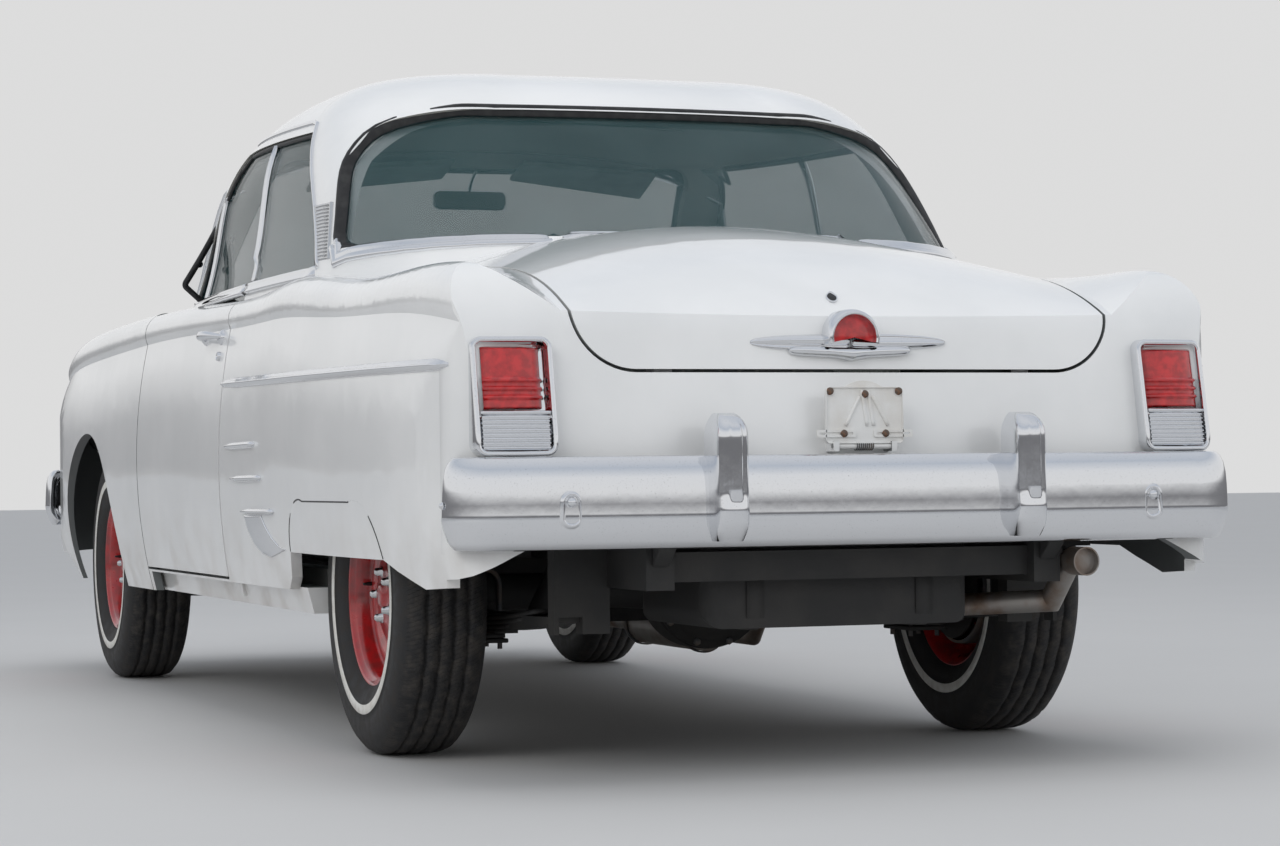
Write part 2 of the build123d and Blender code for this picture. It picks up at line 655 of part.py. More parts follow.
# Front knuckles: kingpin, spindle, backing plate and steering arm
spindle = hub_bore - 0.4
pin_low, pin_high = 246.0, 466.0
arm_back = 150.0
arm_in = 30.0
plate_outline = [(0, -75), (135, -75), (135, -70), (0, -70)]
arm_z = 287.0
for name, s in (("left", 1), ("right", -1)):
    k = s * kingpin_y
    centre = (wa, s * front_y, tyre_radius)
    knuckle = rod((wa, k, pin_low), (wa, k, pin_high), 20)
    knuckle += rod((wa, k, tyre_radius), (wa, s * (front_y + 36), tyre_radius), spindle)
    knuckle += rod((wa, k, tyre_radius), (wa, s * (front_y - 34), tyre_radius), 30)
    knuckle += turned(plate_outline, centre, (0, s, 0))
    end = (wa - arm_back, s * (kingpin_y - arm_in), arm_z + 10)
    knuckle += rod((wa, k, arm_z + 10), end, 9)
    knuckle += rod((end[0], end[1], arm_z), (end[0], end[1], arm_z + 17), 15)
    save(knuckle, f"knuckle_{name}")
rod_z = arm_z - seam - 16
tie_rod = rod((wa - arm_back, arm_in - kingpin_y, rod_z), (wa - arm_back, kingpin_y - arm_in, rod_z), 9)
for s in (1, -1):
    y = s * (kingpin_y - arm_in)
    tie_rod += rod((wa - arm_back, y, rod_z - 10), (wa - arm_back, y, arm_z - seam), 13)
save(tie_rod, "tie_rod")

# Front suspension arms, from the frame to a ring round each kingpin
ring_hole = 20.5
arms = []
for z0, z1, root_y, spread in ((252, 276, rail_out + 20 + seam, 105), (438, 460, 570 + seam, 55)):
    tip = kingpin_y
    arm = plan_prism([(wa - spread, root_y), (wa + spread, root_y), (wa + 28, tip), (wa - 28, tip)], z0, z1)
    arm += rod((wa, tip, z0), (wa, tip, z1), 30)
    arm -= rod((wa, tip, z0 - 1), (wa, tip, z1 + 1), ring_hole)
    arms += [biggest(arm), mirrored(biggest(arm))]
save(Compound(children=arms), "suspension_arms")
coil_y = 526.0
coil_low = 276 + seam
coil_high = spring_tower_z - seam
coil_turns = 6
coil_step = (coil_high - coil_low) / (2 * coil_turns)
coil_outline = [(0, 0)]
for turn in range(coil_turns):
    coil_outline += [(32, 2 * turn * coil_step), (42, (2 * turn + 1) * coil_step)]
coil_outline += [(32, coil_high - coil_low), (0, coil_high - coil_low)]
coil = turned(coil_outline, (wa, coil_y, coil_low), (0, 0, 1))
save(both_sides(coil), "coil_springs")

# Rear axle, leaf springs
axle = rod((ra, -rear_y + 75, tyre_radius), (ra, rear_y - 75, tyre_radius), 38)
axle += rod((ra, -rear_y - 36, tyre_radius), (ra, rear_y + 36, tyre_radius), spindle)
axle += turned([(0, -95), (105, -95), (140, -40), (140, 40), (105, 95), (0, 95)], (ra, 0, tyre_radius), (1, 0, 0))
for s in (1, -1):
    axle += turned(plate_outline, (ra, s * rear_y, tyre_radius), (0, s, 0))
axle = biggest(axle & (box(-far, ra + 160, -far, far, 0, 1000)))
leaf_width = 50.0
leaf_top = tyre_radius - 39.0
axle_seat = box(ra - 50, ra + 50, spring_y - 25, spring_y + 25, leaf_top + 0.7, tyre_radius - 20)
axle += axle_seat + mirrored(axle_seat)
save(axle, "rear_axle")
leaf = Face(chain(
    [(spring_front_x, 0, leaf_eye_z), (ra, 0, leaf_top), (spring_rear_x, 0, leaf_eye_z)],
    [(spring_rear_x, 0, leaf_eye_z), (spring_rear_x, 0, leaf_eye_z - 12)],
    [(spring_rear_x, 0, leaf_eye_z - 12), (ra, 0, leaf_top - 42), (spring_front_x, 0, leaf_eye_z - 12)],
    [(spring_front_x, 0, leaf_eye_z - 12), (spring_front_x, 0, leaf_eye_z)],
))
leaf = Solid.extrude(leaf.moved(Location((0, spring_y - leaf_width / 2, 0))), Vector(0, leaf_width, 0))
save(both_sides(leaf), "leaf_springs")

# Fuel tank, exhaust and radiator
tank = box(tail_x + 110, ra - 400, -300, 300, 300, trunk_floor_z - floor_thickness - seam)
tank = tank.fillet(40, tank.edges().filter_by(Axis.X) + tank.edges().filter_by(Axis.Z))
save(tank, "fuel_tank")
pipe_radius = 24.0
tailpipe_radius = 30.0
pipe_z = 215.0
muffler = rod((ra + 760, -300, pipe_z), (ra + 1240, -300, pipe_z), 55)
front_pipe = tube(
    [(wa - 300, -230 - seam, 560), (wa - 300, -300, 560), (wa - 300, -300, pipe_z), (ra + 1230, -300, pipe_z)],
    pipe_radius)
rear_pipe = tube(
    [(ra + 770, -300, pipe_z), (ra + 440, -300, pipe_z), (ra + 220, -300, 450), (ra - 130, -300, 450),
     (ra - 310, -347, 330), (ra - 660, -347, 330), (ra - 790, -tailpipe_y, 340),
     (ra - 880, -tailpipe_y, tailpipe_z), (tail_x - 20, -tailpipe_y, tailpipe_z)],
    pipe_radius)
exhaust = front_pipe + muffler + rear_pipe
exhaust += rod((tail_x + 20, -tailpipe_y, tailpipe_z), (tail_x - 38, -tailpipe_y, tailpipe_z), tailpipe_radius)
exhaust -= rod((tail_x - 20, -tailpipe_y, tailpipe_z), (tail_x - 60, -tailpipe_y, tailpipe_z),
               tailpipe_radius - 3)
save(exhaust, "exhaust")
radiator_x = wa + 520
support = box(radiator_x, radiator_x + 20, -rail_out, rail_out, 440 + seam, 1200) & lining
support = biggest(support - box(radiator_x - 10, radiator_x + 30, -300, 300, 480, 900))
save(support, "radiator_support")
save(box(radiator_x - 70, radiator_x - seam, -320, 320, 440 + seam, 900), "radiator")


# Bumpers: one curved bar that wraps round the corners, with its guards and its arms to the frame
def bumper(x_face, x_end, s, half_width, bow, corner, outline):
    """A bar swept along the plan line from the left tip round the end of the car to the right tip."""
    inset = corner * 0.293
    points = [
        [(x_end, half_width, 0), (x_face - s * (bow + corner), half_width, 0)],
        [(x_face - s * (bow + corner), half_width, 0), (x_face - s * (bow + inset), half_width - inset, 0),
         (x_face - s * bow, half_width - corner, 0)],
        [(x_face - s * bow, half_width - corner, 0), (x_face, 0, 0), (x_face - s * bow, corner - half_width, 0)],
        [(x_face - s * bow, corner - half_width, 0), (x_face - s * (bow + inset), inset - half_width, 0),
         (x_face - s * (bow + corner), -half_width, 0)],
        [(x_face - s * (bow + corner), -half_width, 0), (x_end, -half_width, 0)],
    ]
    path = chain(*points)
    section = Face(Wire.make_polygon([(x_end, half_width + out, z) for out, z in outline], close=True))
    return Solid.sweep(section, path, transition=Transition.RIGHT)


bumper_low, bumper_crease, bumper_top = 470.0, 532.0, 655.0
BUMPER_OUTLINE = [
    (-32, bumper_low), (-18, bumper_low + 6), (0, bumper_crease), (-8, bumper_top - 40), (-28, bumper_top),
    (-32, bumper_top - 5), (-22, bumper_top - 50), (-14, bumper_crease), (-25, bumper_low + 16),
    (-32, bumper_low + 10),
]
bumper_half = 874.0
front_bumper_half = 945.0
rear_face_x = ra - 1012
bar = bumper(rear_face_x, ra - 842, -1, bumper_half, 50, 110, BUMPER_OUTLINE)
guard_y = 326.0
guard = side_prism(
    [(rear_face_x + 40, 487), (ra - rear_overhang + 10, 505), (ra - rear_overhang, 560),
     (ra - rear_overhang + 8, 690), (rear_face_x + 5, 735), (rear_face_x + 45, 728)],
    guard_y - 36, guard_y + 36)
guard = guard.fillet(12, guard.faces().sort_by(Axis.Y)[0].edges() + guard.faces().sort_by(Axis.Y)[-1].edges())
rear_bumper = bar
rear_arm = box(rear_face_x + 30, rail_end_rear - seam, rail_in + 5, rail_out - 5, 430, 530)
for piece in (guard, rear_arm):
    rear_bumper += piece
    rear_bumper += mirrored(piece)
save(biggest(rear_bumper), "rear_bumper")
front_face_x = wa + 905
bar = bumper(front_face_x, wa + 640, 1, front_bumper_half, 60, 190, BUMPER_OUTLINE)
front_guard = side_prism(
    [(front_face_x - 40, 487), (wa + front_overhang - 10, 505), (wa + front_overhang, 560),
     (wa + front_overhang - 8, 680), (front_face_x - 5, 725), (front_face_x - 45, 718)],
    guard_y - 36, guard_y + 36)
front_guard = front_guard.fillet(
    12, front_guard.faces().sort_by(Axis.Y)[0].edges() + front_guard.faces().sort_by(Axis.Y)[-1].edges())
front_bumper = bar
front_arm = box(rail_end_front + seam, front_face_x - 30, rail_in + 5, rail_out - 5, 400, 530)
for piece in (front_guard, front_arm):
    front_bumper += piece
    front_bumper += mirrored(piece)
save(biggest(front_bumper), "front_bumper")

# Grille: frame, bars and middle blade in the nose opening
grille_x = nose_x - 75
grille = box(grille_x, grille_x + 40, seam - grille_half, grille_half - seam, grille_low + seam, grille_high - seam)
grille -= box(grille_x - 1, grille_x + 41, 25 - grille_half, grille_half - 25, grille_low + 25, grille_high - 25)
for rise in (55, 110, 165):
    grille += box(grille_x + 5, grille_x + 35, 24 - grille_half, grille_half - 24, grille_low + rise - 12,
                  grille_low + rise + 12)
for y in (-280, 0, 280):
    grille += box(grille_x + 8, grille_x + 32, y - 10, y + 10, grille_low + 20, grille_high - 20)
save(grille, "grille")

# Lamps
headlamps = []
for s in (1, -1):
    lamp = turned(
        [(0, 0), (60, 0), (90, 60), (lamp_radius, 130), (lamp_radius, 168), (92, 180), (50, 190), (0, 193)],
        (nose_x - 200, s * lamp_y, lamp_z), (1, 0, 0))
    headlamps.append(lamp)
save(Compound(children=headlamps), "headlamps")
trim_out = body_volume(-14)
trim_base = body_volume(-seam)
lens_out = body_volume(-30)
lamp_inner, lamp_outer = 650.0, 815.0
lamp_low, lamp_high = 655.0, 893.0
lens_low = 740.0


def lamp_block(clear):
    return rear_prism(
        [(lamp_inner + clear, lamp_low + clear), (lamp_outer - clear, lamp_low + clear),
         (lamp_outer - clear, lamp_high - clear), (lamp_inner + clear, lamp_high - clear)],
        tail_x - 100, tail_x + 190, 26)


lens_prism = rear_prism(
    [(lamp_inner + 18, lens_low), (lamp_outer - 18, lens_low), (lamp_outer - 18, lamp_high - 18),
     (lamp_inner + 18, lamp_high - 18)], tail_x - 100, tail_x + 160, 20)
lens_hole = rear_prism(
    [(lamp_inner + 18 - seam, lens_low - seam), (lamp_outer - 18 + seam, lens_low - seam),
     (lamp_outer - 18 + seam, lamp_high - 18 + seam), (lamp_inner + 18 - seam, lamp_high - 18 + seam)],
    tail_x - 110, tail_x + 200, 20)
lamp_frame = biggest(((trim_out & lamp_block(0)) - lens_hole) - trim_base)
lens = biggest((lens_out & lens_prism) - trim_base)
save(both_sides(lamp_frame), "tail_lamp_frames")
save(both_sides(lens), "tail_lamp_lenses")

# Side trim on the rear quarters, and the ribbed plates on the rear pillars
spear = [(ra + 1095, 849), (ra + 1095, 873), (ra - 830, 851), (ra - 830, 827)]
HASH_MARKS = [
    # front x, rear x, middle z
    (ra + 1040, ra + 690, 700),
    (ra + 970, ra + 620, 618),
    (ra + 870, ra + 510, 537),
]
trim_skin = (trim_out & box(ra - 850, ra + 1100, 600, 1000, 380, 900)) - trim_base
marks = [side_prism(spear, 600, 1000)]
marks += [side_prism([(x0, z - 8), (x0, z + 8), (x1, z + 8), (x1, z - 8)], 600, 1000) for x0, x1, z in HASH_MARKS]
trims = [biggest(trim_skin & mark) for mark in marks]
pillar_plate = side_prism(
    [(ra + 316, 1126), (ra + 418, 1126), (ra + 530, 1272), (ra + 398, 1272)], 500, 900, 8)
pillar_skin = (house_volume(-5) & pillar_plate) - house_volume(-seam)
trims.append(biggest(pillar_skin))
save(Compound(children=[*trims, *(mirrored(t) for t in trims)]), "side_trim")

# Emblem on the trunk lid, and the number plate bracket that hinges over the filler
wing_half = 216.0
wing_low, wing_high = 862.0, 900.0
boss_radius = 52.0
emblem_face = rear_prism(
    [(-wing_half + 30, wing_low), (wing_half - 30, wing_low), (wing_half, wing_high), (-wing_half, wing_high)],
    tail_x - 100, tail_x + 200)
emblem_face += rod((tail_x - 100, 0, wing_high), (tail_x + 200, 0, wing_high), boss_radius)
emblem = (emblem_face & trim_out) - trim_base
save(biggest(emblem), "trunk_emblem")
flap_half = 86.0
arm_half = 106.0
plate_bolt_y = 96.0
plate_bolt_z = 696.0
flap = box(flap_x - 12, flap_x, -flap_half, flap_half, flap_low + 26, flap_high - flap_half)
flap += rod((flap_x - 12, 0, flap_high - flap_half), (flap_x, 0, flap_high - flap_half), flap_half) & box(
    flap_x - 12, flap_x, -flap_half, flap_half, flap_high - flap_half, flap_high)
flap += box(flap_x - 12, flap_x, -arm_half, arm_half, plate_bolt_z - 9, plate_bolt_z + 9)
flap += box(flap_x - 12, flap_x, -50, 50, flap_low + 2, flap_low + 40)
flap += rod((flap_x - 6, -69, flap_low + 6), (flap_x - 6, 69, flap_low + 6), flap_pin)
for y in (-plate_bolt_y, plate_bolt_y):
    flap -= rod((flap_x - 20, y, plate_bolt_z), (flap_x + 10, y, plate_bolt_z), 3.5)
save(flap, "plate_bracket")

# Interior
front_cushion = side_prism(
    [(ra + 1080, 380), (ra + 1640, 400), (ra + 1660, 640), (ra + 1150, 600)], -640, 640, 40)
front_back = side_prism(
    [(ra + 1000, 420), (ra + 1092.3, 420), (ra + 1145.8, 588), (ra + 1020, 1060), (ra + 920, 1060)],
    -640, 640, 30)
front_risers = [
    box(ra + 1150, ra + 1560, s * 420 - 25, s * 420 + 25, floor_z + floor_thickness + seam, 430) for s in (1, -1)]
front_seat = front_cushion + front_back
for riser in front_risers:
    front_seat += riser
tunnel_way = rod((ra + 400, 0, tunnel_z), (firewall_x, 0, tunnel_z), tunnel_radius + 1)
front_seat -= tunnel_way
save(front_seat, "front_seat")
rear_cushion = side_prism(
    [(ra + 530, floor_z + floor_thickness + seam), (ra + 880, floor_z + floor_thickness + seam), (ra + 900, 600),
     (ra + 470, 570), (ra + 480, 470)], -540, 540, 0)
rear_back = side_prism([(ra + 418, 567), (ra + 500, 572.5), (ra + 380, 1040), (ra + 280, 1040)], -540, 540, 12)
save(rear_cushion - tunnel_way + rear_back, "rear_seat")
shelf = box(ra - 110, ra + 287.2 - seam, -520, 520, 1004, 1016)
save(shelf, "parcel_shelf")
dash = side_prism(
    [(firewall_x - 210, 850), (firewall_x - 180, 1025), (firewall_x - 120, 1054), (firewall_x - seam, 1050),
     (firewall_x - seam, 1010), (firewall_x - 120, 1000), (firewall_x - 140, 850)], -660, 660)
column_tilt = radians(28)
wheel_centre = Vector(firewall_x - 420, 370, 985)
column_axis = Vector(cos(column_tilt), 0, -sin(column_tilt))
column_end = wheel_centre + column_axis * 395
column = rod(tuple(wheel_centre + column_axis * (31 + seam)), tuple(column_end), 22)
column &= box(-far, firewall_x - seam, 0, far, 0, 2000)
dash_cut = rod(tuple(wheel_centre), tuple(column_end), 22 + seam)
save(dash - dash_cut, "dashboard")
save(column, "steering_column")
ring = turned(
    [(205 + 12 * cos(radians(a)), 12 * sin(radians(a))) for a in range(0, 360, 60)],
    tuple(wheel_centre), tuple(column_axis))
hub = rod(tuple(wheel_centre - column_axis * 15), tuple(wheel_centre + column_axis * 31), 34)
wheel = ring + hub
for s in (1, -1):
    wheel += rod(tuple(wheel_centre + Vector(0, 20 * s, 0)), tuple(wheel_centre + Vector(0, 200 * s, 0)), 9)
save(wheel, "steering_wheel")
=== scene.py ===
"""Looks of a two-door hardtop car of the early 1950s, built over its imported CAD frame, in metres."""

import json
from math import cos, pi, radians, sin, tan, tau

import bmesh
import bpy
from mathutils import Matrix, Vector
from mathutils.bvhtree import BVHTree


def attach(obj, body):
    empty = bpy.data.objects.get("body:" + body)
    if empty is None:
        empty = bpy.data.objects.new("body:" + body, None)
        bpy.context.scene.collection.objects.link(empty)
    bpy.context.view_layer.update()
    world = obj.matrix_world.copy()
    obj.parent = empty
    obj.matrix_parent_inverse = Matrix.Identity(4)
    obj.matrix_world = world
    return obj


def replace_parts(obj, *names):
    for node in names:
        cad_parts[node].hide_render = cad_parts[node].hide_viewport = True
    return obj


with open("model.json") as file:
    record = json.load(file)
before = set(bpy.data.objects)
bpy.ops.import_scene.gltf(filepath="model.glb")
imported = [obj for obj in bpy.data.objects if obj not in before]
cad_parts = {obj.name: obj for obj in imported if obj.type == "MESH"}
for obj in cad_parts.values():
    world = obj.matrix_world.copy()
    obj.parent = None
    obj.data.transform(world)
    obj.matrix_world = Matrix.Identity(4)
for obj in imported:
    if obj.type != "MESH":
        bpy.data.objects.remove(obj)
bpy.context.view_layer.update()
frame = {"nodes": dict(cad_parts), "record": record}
cad = frame["nodes"]

# Places shared with the CAD part: the axles, the ends of the body, the doors, the cowl and the belt
rear_x = -1.4435
front_x = 1.5535
tail_x = rear_x - 0.915
nose_x = front_x + 0.8
door_front_x = front_x - 0.797
door_rear_x = rear_x + 1.11
cowl_x = front_x - 0.577
belt_z = 1.092
tyre_radius = 0.355
tyre_width = 0.205
WHEELS = [
    ("front_left", front_x, 0.75),
    ("front_right", front_x, -0.75),
    ("rear_left", rear_x, 0.712),
    ("rear_right", rear_x, -0.712),
]


class Value:
    """A shader value. Each operator on it adds one Math node."""

    def __init__(self, finish, socket):
        self.finish = finish
        self.socket = socket

    def math(self, operation, *values):
        return self.finish.add("ShaderNodeMath", {"operation": operation}, *values)

    def __add__(self, other):
        return self.math("ADD", self, other)

    __radd__ = __add__

    def __sub__(self, other):
        return self.math("SUBTRACT", self, other)

    def __rsub__(self, other):
        return self.math("SUBTRACT", other, self)

    def __mul__(self, other):
        return self.math("MULTIPLY", self, other)

    __rmul__ = __mul__

    def __truediv__(self, other):
        return self.math("DIVIDE", self, other)

    def __abs__(self):
        return self.math("ABSOLUTE", self)

    def root(self):
        return self.math("SQRT", self)

    def sine(self):
        return self.math("SINE", self)

    def most(self, other):
        return self.math("MAXIMUM", self, other)

    def step(self, low, high):
        """0 below low, 1 above high and smooth between."""
        settings = {"interpolation_type": "SMOOTHSTEP"}
        return self.finish.add("ShaderNodeMapRange", settings, self, low, high, 0.0, 1.0)


class Finish:
    """One procedural material on a Principled shader."""

    def __init__(self, name, **constants):
        self.material = bpy.data.materials.new(name)
        self.material.use_nodes = True
        self.tree = self.material.node_tree
        self.shader = self.tree.nodes["Principled BSDF"]
        for socket, value in constants.items():
            self.shader.inputs[socket.replace("_", " ")].default_value = value

    def add(self, kind, settings, *values, output=0):
        """A node with these settings and these input values or links, in order."""
        node = self.tree.nodes.new(kind)
        for key, value in settings.items():
            setattr(node, key, value)
        for slot, value in zip(node.inputs, values):
            if isinstance(value, Value):
                self.tree.links.new(value.socket, slot)
            elif value is not None:
                slot.default_value = value
        return Value(self, node.outputs[output])

    def parts(self, vector):
        """The three parts of a vector."""
        outputs = self.add("ShaderNodeSeparateXYZ", {}, vector).socket.node.outputs
        return [Value(self, outputs[i]) for i in range(3)]

    def place(self):
        """Where the point is, in the piece's own coordinates."""
        return self.add("ShaderNodeTexCoord", {}, output=3)

    def normal(self):
        return self.add("ShaderNodeTexCoord", {}, output=1)

    def noise(self, scale, detail=2.0, stretch=(1, 1, 1)):
        """Cloudy noise round 0.5, with about scale clouds a metre."""
        size = tuple(s * scale for s in stretch)
        scaled = self.add("ShaderNodeVectorMath", {"operation": "MULTIPLY"}, self.place(), size)
        return self.add("ShaderNodeTexNoise", {}, scaled, None, 1.0, detail)

    def mix(self, share, first, second):
        """The first colour where share is 0, and the second where it is 1."""
        node = self.add("ShaderNodeMix", {"data_type": "RGBA"}, share).socket.node
        for slot, value in ((6, first), (7, second)):
            if isinstance(value, Value):
                self.tree.links.new(value.socket, node.inputs[slot])
            else:
                node.inputs[slot].default_value = (*value, 1.0)
        return Value(self, node.outputs[2])

    def feed(self, **links):
        for socket, value in links.items():
            self.tree.links.new(value.socket, self.shader.inputs[socket.replace("_", " ")])
        return self

    def bump(self, height, distance):
        """Relief from a height between 0 and 1, distance deep."""
        return self.feed(Normal=self.add("ShaderNodeBump", {}, None, distance, None, height))


def inside_share(finish):
    """1 on faces that look towards the middle of the car, and 0 on those that look away from it."""
    x, y, z = finish.parts(finish.place())
    nx, ny, nz = finish.parts(finish.normal())
    outward = nx * x * 0.35 + ny * y + nz * (z - 0.72)
    return 1.0 - outward.step(-0.03, 0.0)


def paint_finish():
    """White enamel with a clear gloss, road film low down and dull paint inside."""
    finish = Finish("paint_white", Roughness=0.32, Coat_Weight=1.0, Coat_Roughness=0.06)
    x, y, z = finish.parts(finish.place())
    cloud = finish.noise(3.1, 4.0)
    white = finish.mix(cloud.step(0.35, 0.65), (0.8, 0.805, 0.8), (0.86, 0.862, 0.855))
    film = (1.0 - z.step(0.24, 0.66)) * finish.noise(9.0, 5.0).step(0.3, 0.75) * 0.55
    outside = finish.mix(film, white, (0.36, 0.31, 0.26))
    headliner = (0.52, 0.51, 0.47)
    dull = finish.mix(z.step(1.13, 1.16), (0.16, 0.17, 0.17), headliner)
    inner = inside_share(finish)
    finish.feed(
        Base_Color=finish.mix(inner, outside, dull),
        Roughness=0.3 + film * 0.5 + inner * 0.4,
        Coat_Weight=(1.0 - inner) * (1.0 - film),
    )
    return finish.bump(finish.noise(260.0, 1.0), 0.0001)


def chrome_finish(name, tint, dullness):
    """Plated metal with faint wipe marks and a few pits."""
    finish = Finish(name, Metallic=1.0)
    cloud = finish.noise(14.0, 4.0)
    pits = finish.noise(420.0, 2.0).step(0.66, 0.72)
    dark = tuple(c * 0.55 for c in tint)
    finish.feed(
        Base_Color=finish.mix(pits * 0.6, tint, dark),
        Roughness=dullness + cloud.step(0.4, 0.75) * 0.05 + pits * 0.12,
    )
    return finish.bump(finish.noise(30.0, 2.0), 0.00008)


def plain_finish(name, colour, worn, roughness, scale=25.0, depth=0.0004, grain=180.0, **constants):
    """A finish whose colour drifts to worn in clouds, with a fine grain."""
    finish = Finish(name, **constants)
    cloud = finish.noise(scale, 5.0)
    finish.feed(
        Base_Color=finish.mix(cloud.step(0.38, 0.7), colour, worn),
        Roughness=roughness + cloud * 0.15,
    )
    return finish.bump(finish.noise(grain, 3.0), depth)


def glass_finish():
    """Tinted glass that lets more through face on and mirrors at a glance."""
    finish = Finish("glass_tinted", Roughness=0.03, IOR=1.5, Coat_Weight=0.6, Coat_Roughness=0.02)
    haze = finish.noise(5.0, 4.0)
    edge = finish.add("ShaderNodeFresnel", {}, 1.5)
    finish.feed(
        Base_Color=finish.mix(haze.step(0.35, 0.7), (0.02, 0.09, 0.1), (0.05, 0.13, 0.14)),
        Alpha=0.09 + edge * 0.45 + haze.step(0.5, 0.8) * 0.03,
    )
    return finish


def lens_finish():
    """Moulded red lens, its red and its surface varying in clouds."""
    finish = Finish("lens_red", IOR=1.49, Coat_Weight=1.0, Coat_Roughness=0.03)
    cloud = finish.noise(60.0, 3.0)
    finish.feed(
        Base_Color=finish.mix(cloud.step(0.3, 0.7), (0.36, 0.004, 0.006), (0.58, 0.012, 0.014)),
        Roughness=0.12 + cloud * 0.1,
    )
    return finish.bump(cloud, 0.0003)


def tyre_finish():
    """Black rubber with a narrow white ring, centred on the wheel."""
    finish = Finish("tyre_rubber")
    x, y, z = finish.parts(finish.place())
    radius = (x * x + z * z).root()
    ring = radius.step(0.2425, 0.2435) * (1.0 - radius.step(0.2635, 0.2645))
    dust = finish.noise(40.0, 5.0).step(0.35, 0.75)
    tread = radius.step(0.335, 0.345)
    rubber = finish.mix(dust * (0.35 + tread * 0.4), (0.014, 0.014, 0.015), (0.075, 0.066, 0.058))
    white = finish.mix(dust * 0.45, (0.78, 0.77, 0.73), (0.46, 0.42, 0.36))
    finish.feed(Base_Color=finish.mix(ring, rubber, white), Roughness=0.62 + dust * 0.25)
    around = x.math("ARCTAN2", x, z)
    sipes = (around * 210.0 + y * 260.0).sine().step(0.72, 0.9) * tread
    return finish.bump(finish.noise(300.0, 2.0) * 0.25 - sipes, 0.0022)


white_paint = paint_finish()
chrome = chrome_finish("chrome_bright", (0.8, 0.81, 0.83), 0.05)
soft_chrome = chrome_finish("chrome_brushed", (0.62, 0.63, 0.64), 0.2)
glass = glass_finish()
red_lens = lens_finish()
rubber = tyre_finish()
under_black = plain_finish("underbody_black", (0.02, 0.02, 0.02), (0.036, 0.034, 0.032), 0.6, 6.0)
gasket = plain_finish("gasket_rubber", (0.012, 0.012, 0.013), (0.03, 0.03, 0.03), 0.45, 40.0, 0.0002)
iron = plain_finish("cast_iron", (0.1, 0.105, 0.11), (0.17, 0.13, 0.1), 0.6, 18.0, 0.0008, 140.0)
pipe_steel = plain_finish(
    "pipe_steel", (0.34, 0.32, 0.3), (0.2, 0.13, 0.09), 0.4, 12.0, 0.0002, Metallic=0.85)
red_paint = plain_finish(
    "wheel_red", (0.42, 0.012, 0.014), (0.24, 0.02, 0.02), 0.22, 30.0, 0.0001, 300.0, Coat_Weight=0.8,
    Coat_Roughness=0.12)
cloth = plain_finish("seat_cloth", (0.23, 0.23, 0.215), (0.31, 0.3, 0.27), 0.85, 14.0, 0.0006, 900.0)
dash_paint = plain_finish(
    "dash_paint", (0.2, 0.23, 0.235), (0.16, 0.18, 0.185), 0.3, 10.0, 0.0001, 300.0, Coat_Weight=0.5)
ivory = plain_finish(
    "ivory_plastic", (0.62, 0.6, 0.52), (0.52, 0.48, 0.38), 0.28, 14.0, 0.0001, 300.0, Coat_Weight=0.5)

SLOT_FINISHES = {
    "body_paint": white_paint, "bright_chrome": chrome, "trim_chrome": chrome, "chassis_black": under_black,
    "cast_iron": iron, "exhaust_steel": pipe_steel, "tinted_glass": glass, "red_lens": red_lens,
    "seat_fabric": cloth, "dash_paint": dash_paint, "steering_plastic": ivory, "tyre_rubber": rubber,
    "wheel_red": red_paint,
}
for part in frame["record"]["subparts"]:
    node = cad[part["node"]]
    node.data.materials.clear()
    node.data.materials.append(SLOT_FINISHES[part["material_slot"]].material)
    if part["material_slot"] == "body_paint":
        node.modifiers.new("weld", "WELD").merge_threshold = 0.00005
        node.modifiers.new("creases", "EDGE_SPLIT").split_angle = radians(26)
        node.modifiers.new("shade", "WEIGHTED_NORMAL").weight = 50


# Finish, body and slot of the commonest pieces
TRIM = (chrome, "body", "trim_chrome")
BRIGHT = (chrome, "body", "bright_chrome")
BLACK = (under_black, "body", "chassis_black")
RUBBER = (gasket, "body", "body_paint")
CASTING = (iron, "body", "cast_iron")
IVORY = (ivory, "body", "steering_plastic")
LID_TRIM = (chrome, "trunk_lid", "trim_chrome")
SIDES = ((1, "left"), (-1, "right"))
FORWARD, BACKWARD = Vector((1, 0, 0)), Vector((-1, 0, 0))
UP, DOWN = Vector((0, 0, 1)), Vector((0, 0, -1))


def piece(name, verts, faces, finish, body, slot, at=(0, 0, 0), smooth=True):
    """A mesh that rides on a CAD body."""
    mesh = bpy.data.meshes.new(name)
    mesh.from_pydata([tuple(v) for v in verts], [], faces)
    bm = bmesh.new()
    bm.from_mesh(mesh)
    bmesh.ops.recalc_face_normals(bm, faces=bm.faces)
    bm.to_mesh(mesh)
    bm.free()
    mesh.materials.append(finish.material)
    if smooth:
        mesh.polygons.foreach_set("use_smooth", [True] * len(mesh.polygons))
    obj = bpy.data.objects.new(name, mesh)
    bpy.context.scene.collection.objects.link(obj)
    obj.location = at
    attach(obj, body)
    return obj


def rounded(obj, width, segments=3, angle=35):
    """Rounds the piece's sharp edges and keeps its flats flat."""
    bevel = obj.modifiers.new("edge", "BEVEL")
    bevel.width = width
    bevel.segments = segments
    bevel.limit_method = "ANGLE"
    bevel.angle_limit = radians(angle)
    bevel.harden_normals = False
    obj.modifiers.new("shade", "WEIGHTED_NORMAL").keep_sharp = True
    return obj


def subdivided(obj, levels=2):
    obj.modifiers.new("smooth", "SUBSURF").levels = levels
    obj.modifiers["smooth"].render_levels = levels
    return obj


